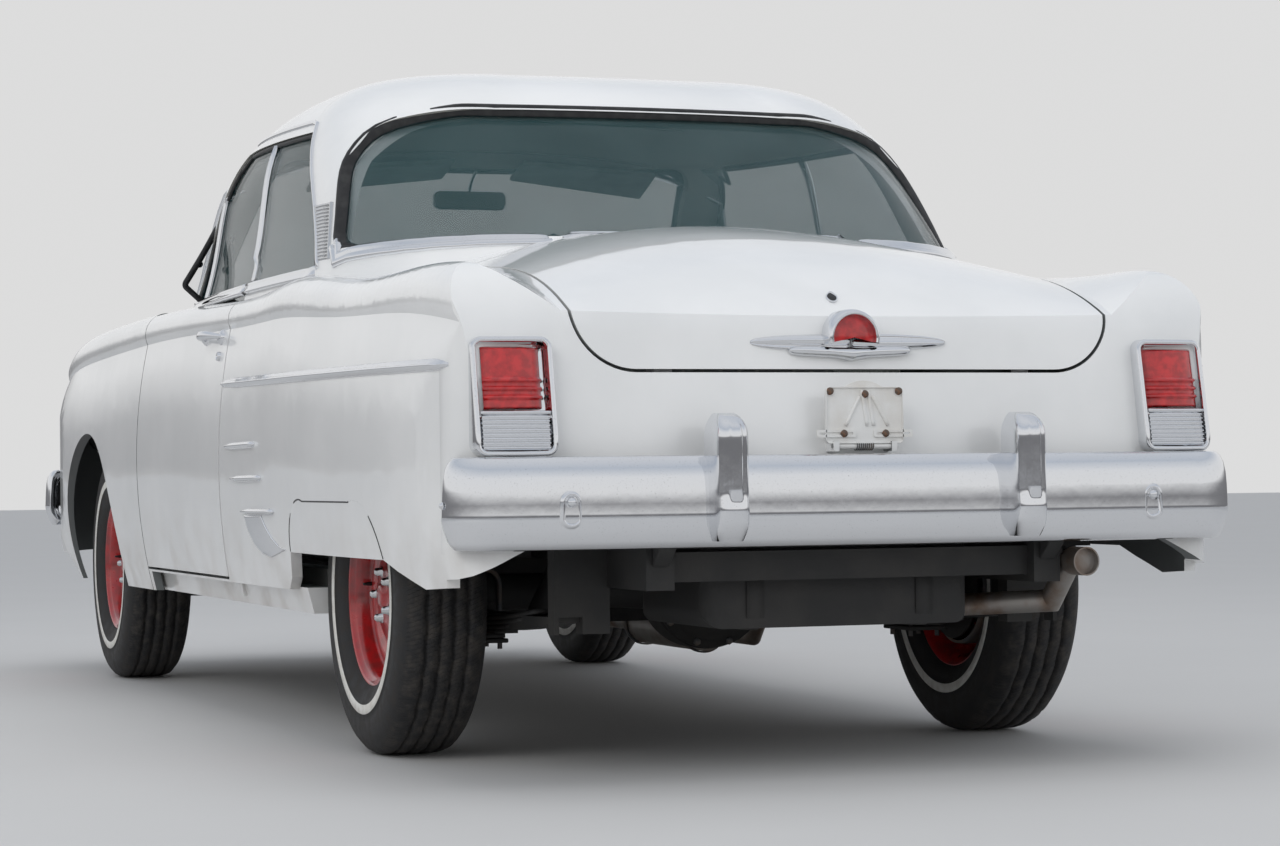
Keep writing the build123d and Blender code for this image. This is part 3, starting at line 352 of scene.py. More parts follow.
def grid(rows, closed_rows=False, closed_columns=False, capped=False):
    """Vertices and faces of a net of points: each row is one list of points."""
    count, width = len(rows), len(rows[0])
    verts = [p for row in rows for p in row]
    faces = []
    for i in range(count if closed_rows else count - 1):
        for j in range(width if closed_columns else width - 1):
            a, b = i * width, (i + 1) % count * width
            k = (j + 1) % width
            faces.append((a + j, a + k, b + k, b + j))
    if capped:
        faces.append(tuple(range(width)))
        faces.append(tuple((count - 1) * width + j for j in reversed(range(width))))
    return verts, faces


def lathed(name, outline, finish, body, slot, at, axis, steps=64, closed=False):
    """A turned piece from an outline (radius, along) about an axis through a point."""
    turn = UP.rotation_difference(Vector(axis))
    rows = []
    for k in range(steps):
        a = tau * k / steps
        rows.append([turn @ Vector((r * cos(a), r * sin(a), h)) for r, h in outline])
    return piece(name, *grid(rows, True, closed), finish, body, slot, at)


def ribbon(name, spots, section, finish, body, slot, sizes=None, closed=False):
    """A moulding along spots of (point, normal). Its section is (across, outward), scaled by sizes."""
    rows = []
    count = len(spots)
    for k, (point, out) in enumerate(spots):
        before = spots[k - 1][0] if closed or k else point
        after = spots[(k + 1) % count][0] if closed or k + 1 < count else point
        along = (after - before).normalized()
        across = out.cross(along).normalized()
        outward = along.cross(across).normalized()
        if outward.dot(out) < 0:
            outward.negate()
        size = sizes[k] if sizes else 1.0
        rows.append([point + across * a * size + outward * o * size for a, o in section])
    return piece(name, *grid(rows, closed, True, not closed), finish, body, slot)


def circle(radius, steps):
    """A round section of steps points."""
    return [(radius * cos(tau * k / steps), radius * sin(tau * k / steps)) for k in range(steps)]


def both_ways(half):
    """A section from the half on one side of its middle."""
    return half + [(-a, o) for a, o in reversed(half) if a]


def shares(count):
    return [k / count for k in range(count + 1)]


def scaled(section, across, out):
    return [(a * across, o * out) for a, o in section]


def block(name, corners, depth, finish, body, slot, edge=0.002):
    """A flat outline of 3-D corners pushed along a vector, with rounded edges."""
    push = Vector(depth)
    near = [Vector(c) for c in corners]
    rows = [near, [c + push for c in near]]
    return rounded(piece(name, *grid(rows, False, True, True), finish, body, slot), edge)


def plank(name, x0, x1, y0, y1, z, height, finish, body, slot, edge=0.002):
    """A flat block that stands on the level z."""
    corners = [(x0, y0, z), (x1, y0, z), (x1, y1, z), (x0, y1, z)]
    return block(name, corners, (0, 0, height), finish, body, slot, edge)


def tree_of(*names):
    """A tree of the surfaces of CAD nodes, for finding points on them."""
    verts, faces = [], []
    for name in names:
        base = len(verts)
        mesh = cad[name].data
        verts += [v.co.copy() for v in mesh.vertices]
        faces += [tuple(base + i for i in p.vertices) for p in mesh.polygons]
    return BVHTree.FromPolygons(verts, faces)


skin = tree_of("body_shell", "front_fenders", "door_left", "door_right", "trunk_lid", "hood", "fender_skirts")


def on_skin(start, direction, lift=0.0):
    """The first point of the body's skin from start along direction, lifted off it, and its normal."""
    aim = Vector(direction).normalized()
    point, normal = skin.ray_cast(Vector(start), aim)[:2]
    if point is None:
        point, normal = skin.find_nearest(Vector(start) + aim * 0.3)[:2]
    if normal.dot(aim) > 0:
        normal = -normal
    return point + normal * lift, normal


# Tyres: five ribs between grooves, notched shoulders and smooth sides
half = tyre_width / 2
GROOVES = (-0.046, -0.0155, 0.0155, 0.046)
SIDE = [
    (0.1905, 0.064), (0.196, 0.071), (0.205, 0.0815), (0.215, 0.088), (0.228, 0.0945), (0.241, 0.0985),
    (0.2425, 0.1003), (0.264, 0.1015), (0.2655, 0.0995), (0.282, half - 0.0015), (0.3, half - 0.002),
    (0.318, 0.097), (0.331, 0.091), (0.34, 0.0835),
]


def tyre_mesh(steps=180):
    rows = []
    for k in range(steps):
        a = tau * k / steps
        zig = 0.0009 * (1 if k % 6 < 3 else -1)
        notch = 0.003 if k % 4 == 0 else 0.0
        across = [(r, y) for r, y in SIDE] + [
            (0.3475 - notch, 0.077), (0.3515 - notch, 0.068), (0.3535, 0.06)]
        for g in reversed(GROOVES):
            crown = tyre_radius - 0.5 * g * g
            across += [(crown, g + 0.0042 + zig), (crown - 0.0075, g + 0.0022 + zig)]
            across += [(crown - 0.0075, g - 0.0022 + zig), (crown, g - 0.0042 + zig)]
        across += [(0.3535, -0.06), (0.3515 - notch, -0.068), (0.3475 - notch, -0.077)]
        across += [(r, -y) for r, y in reversed(SIDE)]
        rows.append([Vector((r * sin(a), y, r * cos(a))) for r, y in across])
    return grid(rows, True, True)


RIM = [
    (0.0, 0.06), (0.018, 0.06), (0.026, 0.057), (0.03, 0.05), (0.04, 0.048), (0.058, 0.0485), (0.066, 0.044),
    (0.074, 0.04), (0.098, 0.037), (0.106, 0.0335), (0.112, 0.0265), (0.12, 0.0245), (0.132, 0.031),
    (0.146, 0.0355), (0.158, 0.0335), (0.168, 0.0285), (0.174, 0.0275), (0.1765, 0.036), (0.1785, 0.052),
    (0.183, 0.0625), (0.1865, 0.0655), (0.19, 0.0665), (0.1945, 0.0735), (0.1985, 0.0772), (0.2028, 0.0772),
    (0.2042, 0.0745), (0.2025, 0.0725), (0.1895, 0.064), (0.1885, -0.064), (0.203, -0.0725), (0.2035, -0.076),
    (0.198, -0.0768), (0.19, -0.066), (0.176, -0.055), (0.172, 0.012), (0.15, 0.024), (0.118, 0.012),
    (0.1, 0.028), (0.05, 0.036), (0.0185, 0.036), (0.0185, 0.043), (0.0, 0.043),
]
for name, x, y in WHEELS:
    side = 1 if y > 0 else -1
    body = f"road_wheel_{name}"
    centre = (x, y, tyre_radius)
    tyre = piece(f"tyre_{name}_dressed", *tyre_mesh(), rubber, body, "tyre_rubber", centre)
    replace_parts(tyre, f"tyre_{name}")
    rim = lathed(f"wheel_{name}_dressed", RIM, red_paint, body, "wheel_red", centre, (0, side, 0), 96)
    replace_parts(rim, f"wheel_{name}")
    drum = [(0.045, 0.03), (0.149, 0.008), (0.1495, 0.0), (0.1495, -0.05), (0.148, -0.061), (0.141, -0.061)]
    lathed(f"brake_drum_{name}", drum, iron, body, "cast_iron", centre, (0, side, 0), 72)
    nut = [(0.0, 0.016), (0.005, 0.0155), (0.0095, 0.012), (0.011, 0.0), (0.0145, -0.001), (0.0145, -0.003)]
    for k in range(5):
        a = tau * k / 5 + 0.3
        spot = (x + 0.054 * sin(a), y + side * 0.0495, tyre_radius + 0.054 * cos(a))
        lathed(f"lug_nut_{name}_{k}", nut, soft_chrome, body, "bright_chrome", spot, (0, side, 0), 6)
    valve = [(0.0, 0.03), (0.003, 0.0295), (0.0036, 0.02), (0.0045, 0.018), (0.005, 0.0)]
    lathed(
        f"valve_{name}", valve, gasket, body, "tyre_rubber",
        (x + 0.165, y + side * 0.026, tyre_radius + 0.02), (-0.35, side, 0), 12)


# Outlines and raised pieces on the skin
def rounded_outline(corners, radius, steps=6):
    """Points round a polygon whose corners are rounded."""
    points = []
    count = len(corners)
    for i, corner in enumerate(corners):
        here = Vector(corner)
        before = (Vector(corners[i - 1]) - here).normalized()
        after = (Vector(corners[(i + 1) % count]) - here).normalized()
        half_turn = before.angle(after) / 2
        reach = radius / tan(half_turn)
        centre = here + (before + after).normalized() * (radius / sin(half_turn))
        first, last = here + before * reach - centre, here + after * reach - centre
        for k in range(steps + 1):
            share = k / steps
            arm = (first * (1 - share) + last * share).normalized() * radius
            points.append(tuple(centre + arm))
    return points


def divided(points, pitch, closed=True):
    """The same line with points no further apart than pitch."""
    result = []
    count = len(points)
    for i in range(count if closed else count - 1):
        a, b = Vector(points[i]), Vector(points[(i + 1) % count])
        pieces = max(1, int((b - a).length / pitch + 0.999))
        result += [tuple(a.lerp(b, k / pieces)) for k in range(pieces)]
    if not closed:
        result.append(tuple(points[-1]))
    return result


def shrunk(outline, inset):
    """A closed outline of 2-D points moved inwards, for one that runs anticlockwise."""
    result = []
    count = len(outline)
    for i in range(count):
        a, b = Vector(outline[i - 1]), Vector(outline[(i + 1) % count])
        along = (b - a).normalized()
        result.append((outline[i][0] - along.y * inset, outline[i][1] + along.x * inset))
    return result


def from_behind(y, z, lift=0.0):
    return on_skin((-2.6, y, z), (1, 0, 0), lift)


def from_side(side, x, z, lift=0.0):
    return on_skin((x, side * 1.1, z), (0, -side, 0), lift)


def sheet(name, net, finish, body, slot):
    return piece(name, *grid(net), finish, body, slot)


# Tail lamps: a deep bright housing, a ribbed lens in it and a fluted panel below
LAMP = [(0.65, 0.655), (0.815, 0.655), (0.815, 0.893), (0.65, 0.893)]
LENS_LOW, LENS_HIGH = 0.746, 0.874


def lamp_face(y, z):
    """The plane of the housing's rim, which turns a little towards the side."""
    base = from_behind(0.655, z)[0].x
    return base - 0.036 + 0.75 * max(0.0, y - 0.66) ** 2 + 0.006 * (z - 0.655) / 0.238


def tail_lamp(side, label):
    outline = divided(rounded_outline(LAMP, 0.024, 6), 0.012)
    centre_y = 0.7325

    def loop(inset, depth):
        return [Vector((lamp_face(y, z) + depth, side * y, z)) for y, z in shrunk(outline, inset)]

    root = []
    for y, z in outline:
        point = from_behind(min(y, 0.8), z)[0]
        root.append(Vector((point.x + 0.012, side * y, z)))
    rows = [
        root, loop(0.0, 0.006), loop(0.0007, 0.0025), loop(0.0025, 0.0), loop(0.006, -0.0006),
        loop(0.0095, 0.0006), loop(0.011, 0.004), loop(0.0125, 0.014), loop(0.014, 0.027),
        loop(0.017, 0.03), loop(0.045, 0.03), loop(0.078, 0.03)]
    housing = piece(f"tail_lamp_housing_{label}", *grid(rows, False, True, False), *BRIGHT)
    if side > 0:
        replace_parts(housing, "tail_lamp_frames")
    net = []
    for i in range(65):
        z = LENS_LOW + (LENS_HIGH - LENS_LOW) * i / 64
        rib = sum(max(0.0, 1 - ((z - m) / 0.0042) ** 2) ** 0.5 for m in (0.772, 0.789, 0.806)) * 0.0052
        ends = min(1.0, max(0.0, min(i, 64 - i) / 3.0)) ** 0.5
        row = []
        for k in range(29):
            u = -1 + k / 14
            bulge = (1 - u * u * 0.92) ** 0.5
            y = centre_y + u * (0.06 + rib * 0.35)
            row.append(Vector((lamp_face(centre_y, z) + 0.033 - (0.029 * bulge + rib) * ends, side * y, z)))
        net.append(row)
    lens = sheet(f"tail_lamp_lens_{label}", net, red_lens, "body", "red_lens")
    if side > 0:
        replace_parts(lens, "tail_lamp_lenses")
    net = []
    for i in range(97):
        z = 0.668 + 0.07 * i / 96
        wave = 0.5 - 0.5 * cos(tau * 8 * i / 96)
        row = []
        for k in range(21):
            u = k / 10 - 1
            y = centre_y + u * 0.067
            row.append(
                Vector((lamp_face(y, z) + 0.009 - 0.0042 * wave ** 0.7 - 0.006 * (1 - u * u), side * y, z)))
        net.append(row)
    sheet(f"tail_lamp_flutes_{label}", net, *BRIGHT)
    bar = []
    for k in range(21):
        y = centre_y + 0.0695 * (k / 10 - 1)
        bar.append((Vector((lamp_face(y, 0.7415) + 0.004, side * y, 0.7415)), BACKWARD))
    half_round = both_ways([(0.0038, -0.006), (0.0038, 0.0), (0.0027, 0.0027), (0, 0.0038)])
    ribbon(f"tail_lamp_bar_{label}", bar, half_round, *BRIGHT)


for side, label in SIDES:
    tail_lamp(side, label)

# Emblem on the lid: two long wings, a lower bar with a point in the middle, and a hooded red dome
WING = [
    (0.0175, -0.012), (0.0185, 0.002), (0.0165, 0.0075), (0.0125, 0.0085), (0.0105, 0.0065),
    (0.006, 0.0095), (0.0, 0.0165), (-0.006, 0.0155), (-0.013, 0.0085), (-0.017, 0.001), (-0.0175, -0.012)]
emblem_z = 0.884
wings = []
for side, label in SIDES:
    spots, sizes = [], []
    for k in range(41):
        y = side * (0.004 + 0.214 * k / 40)
        spots.append(from_behind(y, emblem_z))
        sizes.append(0.18 + 0.82 * (1 - (k / 40) ** 3) ** 0.6)
    wings.append(ribbon(f"emblem_wing_{label}", spots, WING, *LID_TRIM, sizes))
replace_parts(wings[0], "trunk_emblem")
spots, sizes = [], []
for k in range(61):
    u = k / 30 - 1
    z = 0.867 - 0.006 * (1 - abs(u)) ** 2
    spots.append(from_behind(0.136 * u, z))
    sizes.append(0.35 + 0.65 * (1 - u ** 6) ** 0.5 + 0.3 * max(0.0, 1 - abs(u) * 4))
LOWER = [
    (0.0125, -0.01), (0.0125, 0.014), (0.009, 0.018), (0.0015, 0.0225), (-0.0065, 0.0165), (-0.01, 0.006),
    (-0.0105, -0.01)]
ribbon("emblem_lower_bar", spots, LOWER, *LID_TRIM, sizes)
DOME = [
    (0.059, -0.03), (0.0595, 0.01), (0.0585, 0.026), (0.0555, 0.036), (0.0515, 0.04), (0.048, 0.039),
    (0.0468, 0.034), (0.0462, 0.024)]
boss = from_behind(0.0, 0.893)[0]
turns = [radians(-12 + 204 * t) for t in shares(48)]
rows = [[boss + Vector((-h, r * cos(a), r * sin(a))) for r, h in DOME] for a in turns]
piece("emblem_hood", *grid(rows), *LID_TRIM)
CAP = [(0.0465 * s, -0.0245 - 0.0085 * (1 - s * s)) for s in (1.0, 0.92, 0.8, 0.65, 0.45, 0.25, 0.02)]
rows = [[boss + Vector((x, r * cos(a), r * sin(a))) for r, x in CAP] for a in turns]
piece("emblem_insert", *grid(rows), red_lens, "trunk_lid", "red_lens")

# Key cover above the emblem: a drop-shaped flap in a bright ring, lying on the lid
key, out = from_behind(0.006, 0.98)
level = Vector((0, 1, 0)) - out * out.y
level.normalize()
climb = out.cross(level)
if climb.z < 0:
    climb.negate()


def key_ring(scale, lift, count=40):
    """Points of the drop outline, its tip up and leaning to one side."""
    ring = []
    for k in range(count):
        a = tau * k / count
        across = 0.0098 * cos(a) * (1 - 0.42 * max(0.0, sin(a)) ** 1.5) - 0.003 * sin(a)
        ring.append(key + out * lift + level * across * scale + climb * 0.0165 * sin(a) * scale)
    return ring


KEY_RING = ((1.3, -0.003), (1.3, 0.0025), (1.18, 0.0048), (1.04, 0.0036), (1.0, 0.001))
rows = [key_ring(scale, lift) for scale, lift in KEY_RING]
piece("lid_key_ring", *grid(rows, False, True), *LID_TRIM)
rows = [key_ring(scale, 0.0022 + 0.002 * (1 - scale)) for scale in (1.03, 0.8, 0.5, 0.2, 0.02)]
piece("lid_key_cover", *grid(rows, False, True), gasket, "trunk_lid", "trim_chrome")

# Number plate bracket: pressed plate with ribs, a disc behind it and two slotted arms
flap_x = tail_x - 0.016
white_metal = plain_finish("bracket_white", (0.8, 0.8, 0.785), (0.72, 0.7, 0.665), 0.4, 14.0, 0.0003, 400.0)
BRACKET = (white_metal, "plate_bracket", "trim_chrome")
bolt_dark = plain_finish("bolt_dark", (0.1, 0.075, 0.06), (0.2, 0.1, 0.055), 0.55, 200.0, 0.0003, 700.0)


def plate_piece(name, outline, x, depth, finish, body, slot, edge=0.0008):
    """A flat plate across the car from an outline of (y, z)."""
    return block(name, [(x, y, z) for y, z in outline], (depth, 0, 0), finish, body, slot, edge)


base = rounded_outline([(-0.086, 0.676), (0.086, 0.676), (0.084, 0.79), (-0.084, 0.79)], 0.01)
pressed = plate_piece("plate_bracket_pressing", base, flap_x - 0.0095, 0.0025, *BRACKET)
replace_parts(pressed, "plate_bracket")
disc = [(0.07 * cos(a), 0.738 + 0.066 * sin(a)) for a in (tau * k / 48 for k in range(48))]
plate_piece("plate_bracket_disc", disc, flap_x - 0.006, 0.003, *BRACKET)
flange = divided(shrunk(base, 0.001), 0.02)
FLANGE = [(0.0015, 0.0), (0.0015, 0.0035), (-0.0005, 0.0035), (-0.0005, -0.004), (0.0015, -0.004)]
ribbon(
    "plate_bracket_flange", [(Vector((flap_x - 0.009, y, z)), BACKWARD) for y, z in flange], FLANGE,
    *BRACKET, closed=True)
ROUND_RIB = both_ways([(0.0045, -0.001), (0.003, 0.0026), (0.0, 0.0042)])
RIBS = [
    ("slant_left", (0.01, 0.772), (0.042, 0.712)), ("slant_right", (-0.018, 0.772), (-0.052, 0.712)),
    ("middle_left", (0.006, 0.784), (-0.006, 0.712)), ("middle_right", (-0.008, 0.784), (-0.02, 0.712)),
]
for label, start, end in RIBS:
    line = [(Vector((flap_x - 0.0093, *p)), BACKWARD) for p in divided([start, end], 0.01, False)]
    ribbon(f"plate_bracket_rib_{label}", line, ROUND_RIB, *BRACKET)
for label, y0, y1 in (("left", 0.02, 0.106), ("right", -0.106, -0.02)):
    outer = rounded_outline([(y0, 0.6885), (y1, 0.6885), (y1, 0.7035), (y0, 0.7035)], 0.003, 4)
    inner = rounded_outline(
        [(y0 + 0.006, 0.6935), (y1 - 0.006, 0.6935), (y1 - 0.006, 0.6985), (y0 + 0.006, 0.6985)], 0.0024, 4)
    edges = ((0.0125, outer), (0.0125, inner), (0.0095, inner), (0.0095, outer))
    rows = [[Vector((flap_x - back, y, z)) for y, z in line] for back, line in edges]
    piece(f"plate_bracket_arm_{label}", *grid(rows, True, True), *BRACKET, smooth=False)
BOLT = [(0.0, 0.0045), (0.003, 0.0043), (0.0052, 0.003), (0.006, 0.001), (0.0075, 0.0008), (0.008, -0.002)]
for label, y, z in (
        ("left", 0.046, 0.696), ("right", -0.046, 0.696), ("top", -0.001, 0.776),
        ("corner_left", 0.076, 0.782), ("corner_right", -0.076, 0.782)):
    lathed(
        f"plate_bracket_bolt_{label}", BOLT, bolt_dark, "plate_bracket", "trim_chrome",
        (flap_x - 0.0128, y, z), (-1, 0, 0), 20)
barrel = [(Vector((flap_x - 0.006, y, 0.67)), BACKWARD) for y in (k * 0.01 - 0.068 for k in range(14))]
ribbon("plate_bracket_barrel", barrel, circle(0.006, 16), *BRACKET)
spring = []
for k in range(181):
    a = tau * 9 * k / 180
    spot = Vector((flap_x - 0.006 + 0.0078 * cos(a), 0.02 * (k / 90 - 1), 0.67 + 0.0078 * sin(a)))
    spring.append((spot, Vector((cos(a), 0, sin(a)))))
ribbon("plate_bracket_spring", spring, circle(0.0012, 6), iron, "plate_bracket", "trim_chrome")


# Bumpers: a bar that wraps round the corners, with hooded guards, bolts and arms
BAR = [
    (-0.032, 0.47), (-0.022, 0.4728), (-0.012, 0.487), (-0.004, 0.512), (-0.0008, 0.526), (0.0, 0.5325),
    (-0.0006, 0.541), (-0.0012, 0.56), (-0.0022, 0.585), (-0.0042, 0.61), (-0.0085, 0.631),
    (-0.0155, 0.645), (-0.0225, 0.6525), (-0.0285, 0.6548), (-0.0315, 0.654), (-0.031, 0.6505),
    (-0.0245, 0.6485), (-0.0185, 0.6415), (-0.012, 0.6285), (-0.0078, 0.609), (-0.0058, 0.585),
    (-0.0046, 0.56), (-0.004, 0.541), (-0.004, 0.5325), (-0.0075, 0.512), (-0.0155, 0.489),
    (-0.024, 0.4765), (-0.032, 0.474)]


def bumper_line(face_x, end_x, s, half_width, bow, corner, pitch=0.02):
    """The bumper's plan line from the left end to the right, as (point, outward) in plan."""
    straight = face_x - s * (bow + corner)
    left = [(end_x, half_width), (straight, half_width)]
    for k in range(1, 13):
        a = pi / 2 * k / 12
        left.append((straight + s * corner * sin(a), half_width - corner * (1 - cos(a))))
    inner = half_width - corner
    middle = []
    for k in range(1, 40):
        y = inner - 2 * inner * k / 40
        middle.append((face_x - s * bow * (y / inner) ** 2, y))
    right = [(x, -y) for x, y in reversed(left)]
    line = divided(left + middle + right, pitch, False)
    result = []
    for i, (x, y) in enumerate(line):
        a, b = line[max(0, i - 1)], line[min(len(line) - 1, i + 1)]
        along = Vector((b[0] - a[0], b[1] - a[1], 0)).normalized()
        out = Vector((-along.y, along.x, 0)) * (-s)
        forward = s * (0.9 if abs(y) < half_width * 0.9 else 0.6)
        if out.dot(Vector((forward, y, 0))) < 0:
            out.negate()
        result.append((Vector((x, y, 0)), out))
    return result


def bumper_bar(name, line):
    rows = []
    last = len(line) - 1
    for i, (point, out) in enumerate(line):
        near_end = min(i, last - i)
        pull = 0.01 * max(0.0, 1 - near_end / 3.0) ** 2
        rows.append(
            [point + out * (o - pull) + Vector((0, 0, z if z > 0.5 else z + pull * 1.5)) for o, z in BAR])
    return piece(name, *grid(rows, False, True, True), *BRIGHT)


def guard(name, face_x, s, y, top):
    """A hooded guard with a fin down its face and a tongue below the crease."""
    rows = []
    low = 0.484
    for i in range(45):
        t = i / 44
        z = low + (top - low) * t
        crown = max(0.0, (t - 0.8) / 0.2)
        foot = max(0.0, (0.16 - t) / 0.16)
        half_wide = 0.036 * (1 - 0.42 * crown ** 2.6 - 0.26 * foot ** 2)
        stand = 0.05 * (1 - crown ** 3.2 * 0.75) - 0.02 * foot ** 1.6
        stand += 0.004 * max(0.0, 1 - abs(z - 0.545) / 0.03)
        row = []
        for k in range(41):
            a = pi * (k / 40 - 0.5)
            wide = half_wide * (abs(sin(a)) ** 0.72) * (1 if a > 0 else -1)
            deep = stand * cos(a) ** 0.55 if abs(a) < 1.5707 else 0.0
            fin = 0.0
            if 0.565 < z < top - 0.012 and abs(wide) < 0.0135:
                rise = min(1.0, (0.0135 - abs(wide)) / 0.004)
                rise *= min(1.0, (z - 0.565) / 0.012) * min(1.0, (top - 0.012 - z) / 0.01)
                fin = 0.006 * rise
            row.append(Vector((face_x + s * (deep + fin - 0.004), y + wide, z)))
        row.insert(0, Vector((face_x - s * 0.036, row[0].y, z)))
        row.append(Vector((face_x - s * 0.036, row[-1].y, z)))
        rows.append(row)
    cap = [Vector((face_x - s * 0.03, y + (p.y - y) * 0.55, top + 0.0015)) for p in rows[-1]]
    rows.append([p.lerp(q, 0.35) + Vector((0, 0, 0.003)) for p, q in zip(rows[-1], cap)])
    rows.append(cap)
    return piece(name, *grid(rows), *BRIGHT)


CAP_BOLT = [
    (0.0, 0.0085), (0.004, 0.0082), (0.0075, 0.006), (0.0095, 0.002), (0.0105, 0.0), (0.0135, -0.0006),
    (0.014, -0.003)]


def bolt_pad(name, at, out):
    """A tear-shaped pressing round a bumper bolt."""
    across = UP.cross(out).normalized()
    rows = []
    for scale, lift in (
            (1.35, -0.001), (1.2, 0.0015), (1.05, 0.0042), (0.85, 0.0042), (0.75, 0.002), (0.7, 0.0005)):
        row = []
        for k in range(40):
            a = tau * k / 40
            drop = -0.03 if sin(a) < -0.2 else 0.0
            narrow = 1.15 if sin(a) < -0.2 else 1.0
            row.append(
                at + across * (0.017 * scale * cos(a) * narrow)
                + Vector((0, 0, 0.017 * scale * sin(a) + drop)) + out * lift)
        rows.append(row)
    piece(name, *grid(rows, False, True), *BRIGHT)
    lathed(f"{name}_bolt", CAP_BOLT, *BRIGHT, at + out * 0.001, out, 28)


# Half width, bow and corner radius of each bumper's plan line
REAR_PLAN = (0.874, 0.05, 0.11)
FRONT_PLAN = (0.945, 0.06, 0.19)
PAD_Y, PAD_Z = 0.64, 0.565
rear_face_x = rear_x - 1.012
rear_line = bumper_line(rear_face_x, rear_x - 0.842, -1, *REAR_PLAN)
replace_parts(bumper_bar("rear_bumper_bar", rear_line), "rear_bumper")
front_face_x = front_x + 0.905
front_line = bumper_line(front_face_x, front_x + 0.64, 1, *FRONT_PLAN)
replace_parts(bumper_bar("front_bumper_bar", front_line), "front_bumper")
for side, label in SIDES:
    guard(f"rear_guard_{label}", rear_face_x + 0.0015, -1, side * 0.326, 0.734)
    guard(f"front_guard_{label}", front_face_x - 0.0015, 1, side * 0.326, 0.724)
    for end, face, s, (half_width, bow, corner) in (
            ("rear", rear_face_x, -1, REAR_PLAN), ("front", front_face_x, 1, FRONT_PLAN)):
        x = face - s * bow * (PAD_Y / (half_width - corner)) ** 2
        bolt_pad(
            f"{end}_bumper_pad_{label}", Vector((x - s * 0.0022, side * PAD_Y, PAD_Z)), Vector((s, 0, 0)))
    lathed(
        f"rear_bumper_end_bolt_{label}", scaled(CAP_BOLT, 0.55, 0.6), *BRIGHT,
        (rear_x - 0.87, side * 0.8735, 0.56), (0, side, 0), 24)
    rear_arm = [
        (rear_face_x + 0.034, 0.492), (tail_x + 0.012, 0.432), (tail_x + 0.012, 0.528),
        (rear_face_x + 0.03, 0.6)]
    front_arm = [
        (front_face_x - 0.036, 0.492), (nose_x - 0.058, 0.402), (nose_x - 0.058, 0.528),
        (front_face_x - 0.032, 0.6)]
    for end, arm in (("rear", rear_arm), ("front", front_arm)):
        block(
            f"{end}_bumper_arm_{label}", [(x, side * 0.412, z) for x, z in arm], (0, side * 0.036, 0),
            *BLACK, 0.003)

# Side trim: spears, short marks with bright ends, stone shields and ribbed pillar plates
SPEAR = [
    (0.0125, -0.004), (0.0125, 0.003), (0.0105, 0.0055), (0.004, 0.0125), (0.0015, 0.014), (-0.001, 0.0125),
    (-0.0045, 0.0065), (-0.0085, 0.005), (-0.01, 0.003), (-0.0125, 0.0028), (-0.0125, -0.004)]
MARK = [
    (0.0085, -0.004), (0.0085, 0.004), (0.006, 0.01), (0.001, 0.0145), (-0.004, 0.0125), (-0.0075, 0.006),
    (-0.0085, -0.004)]
HASH_MARKS = [(1.04, 0.69, 0.7), (0.97, 0.62, 0.618), (0.87, 0.51, 0.537)]


def flipped(section, side):
    """The same section with its upper side up on either side of the car."""
    return section if side < 0 else [(-a, o) for a, o in section]


def side_line(side, points, pitch=0.02):
    """Skin points under a side view line of (x from the rear axle, z)."""
    return [from_side(side, rear_x + x, z) for x, z in divided(points, pitch, False)]


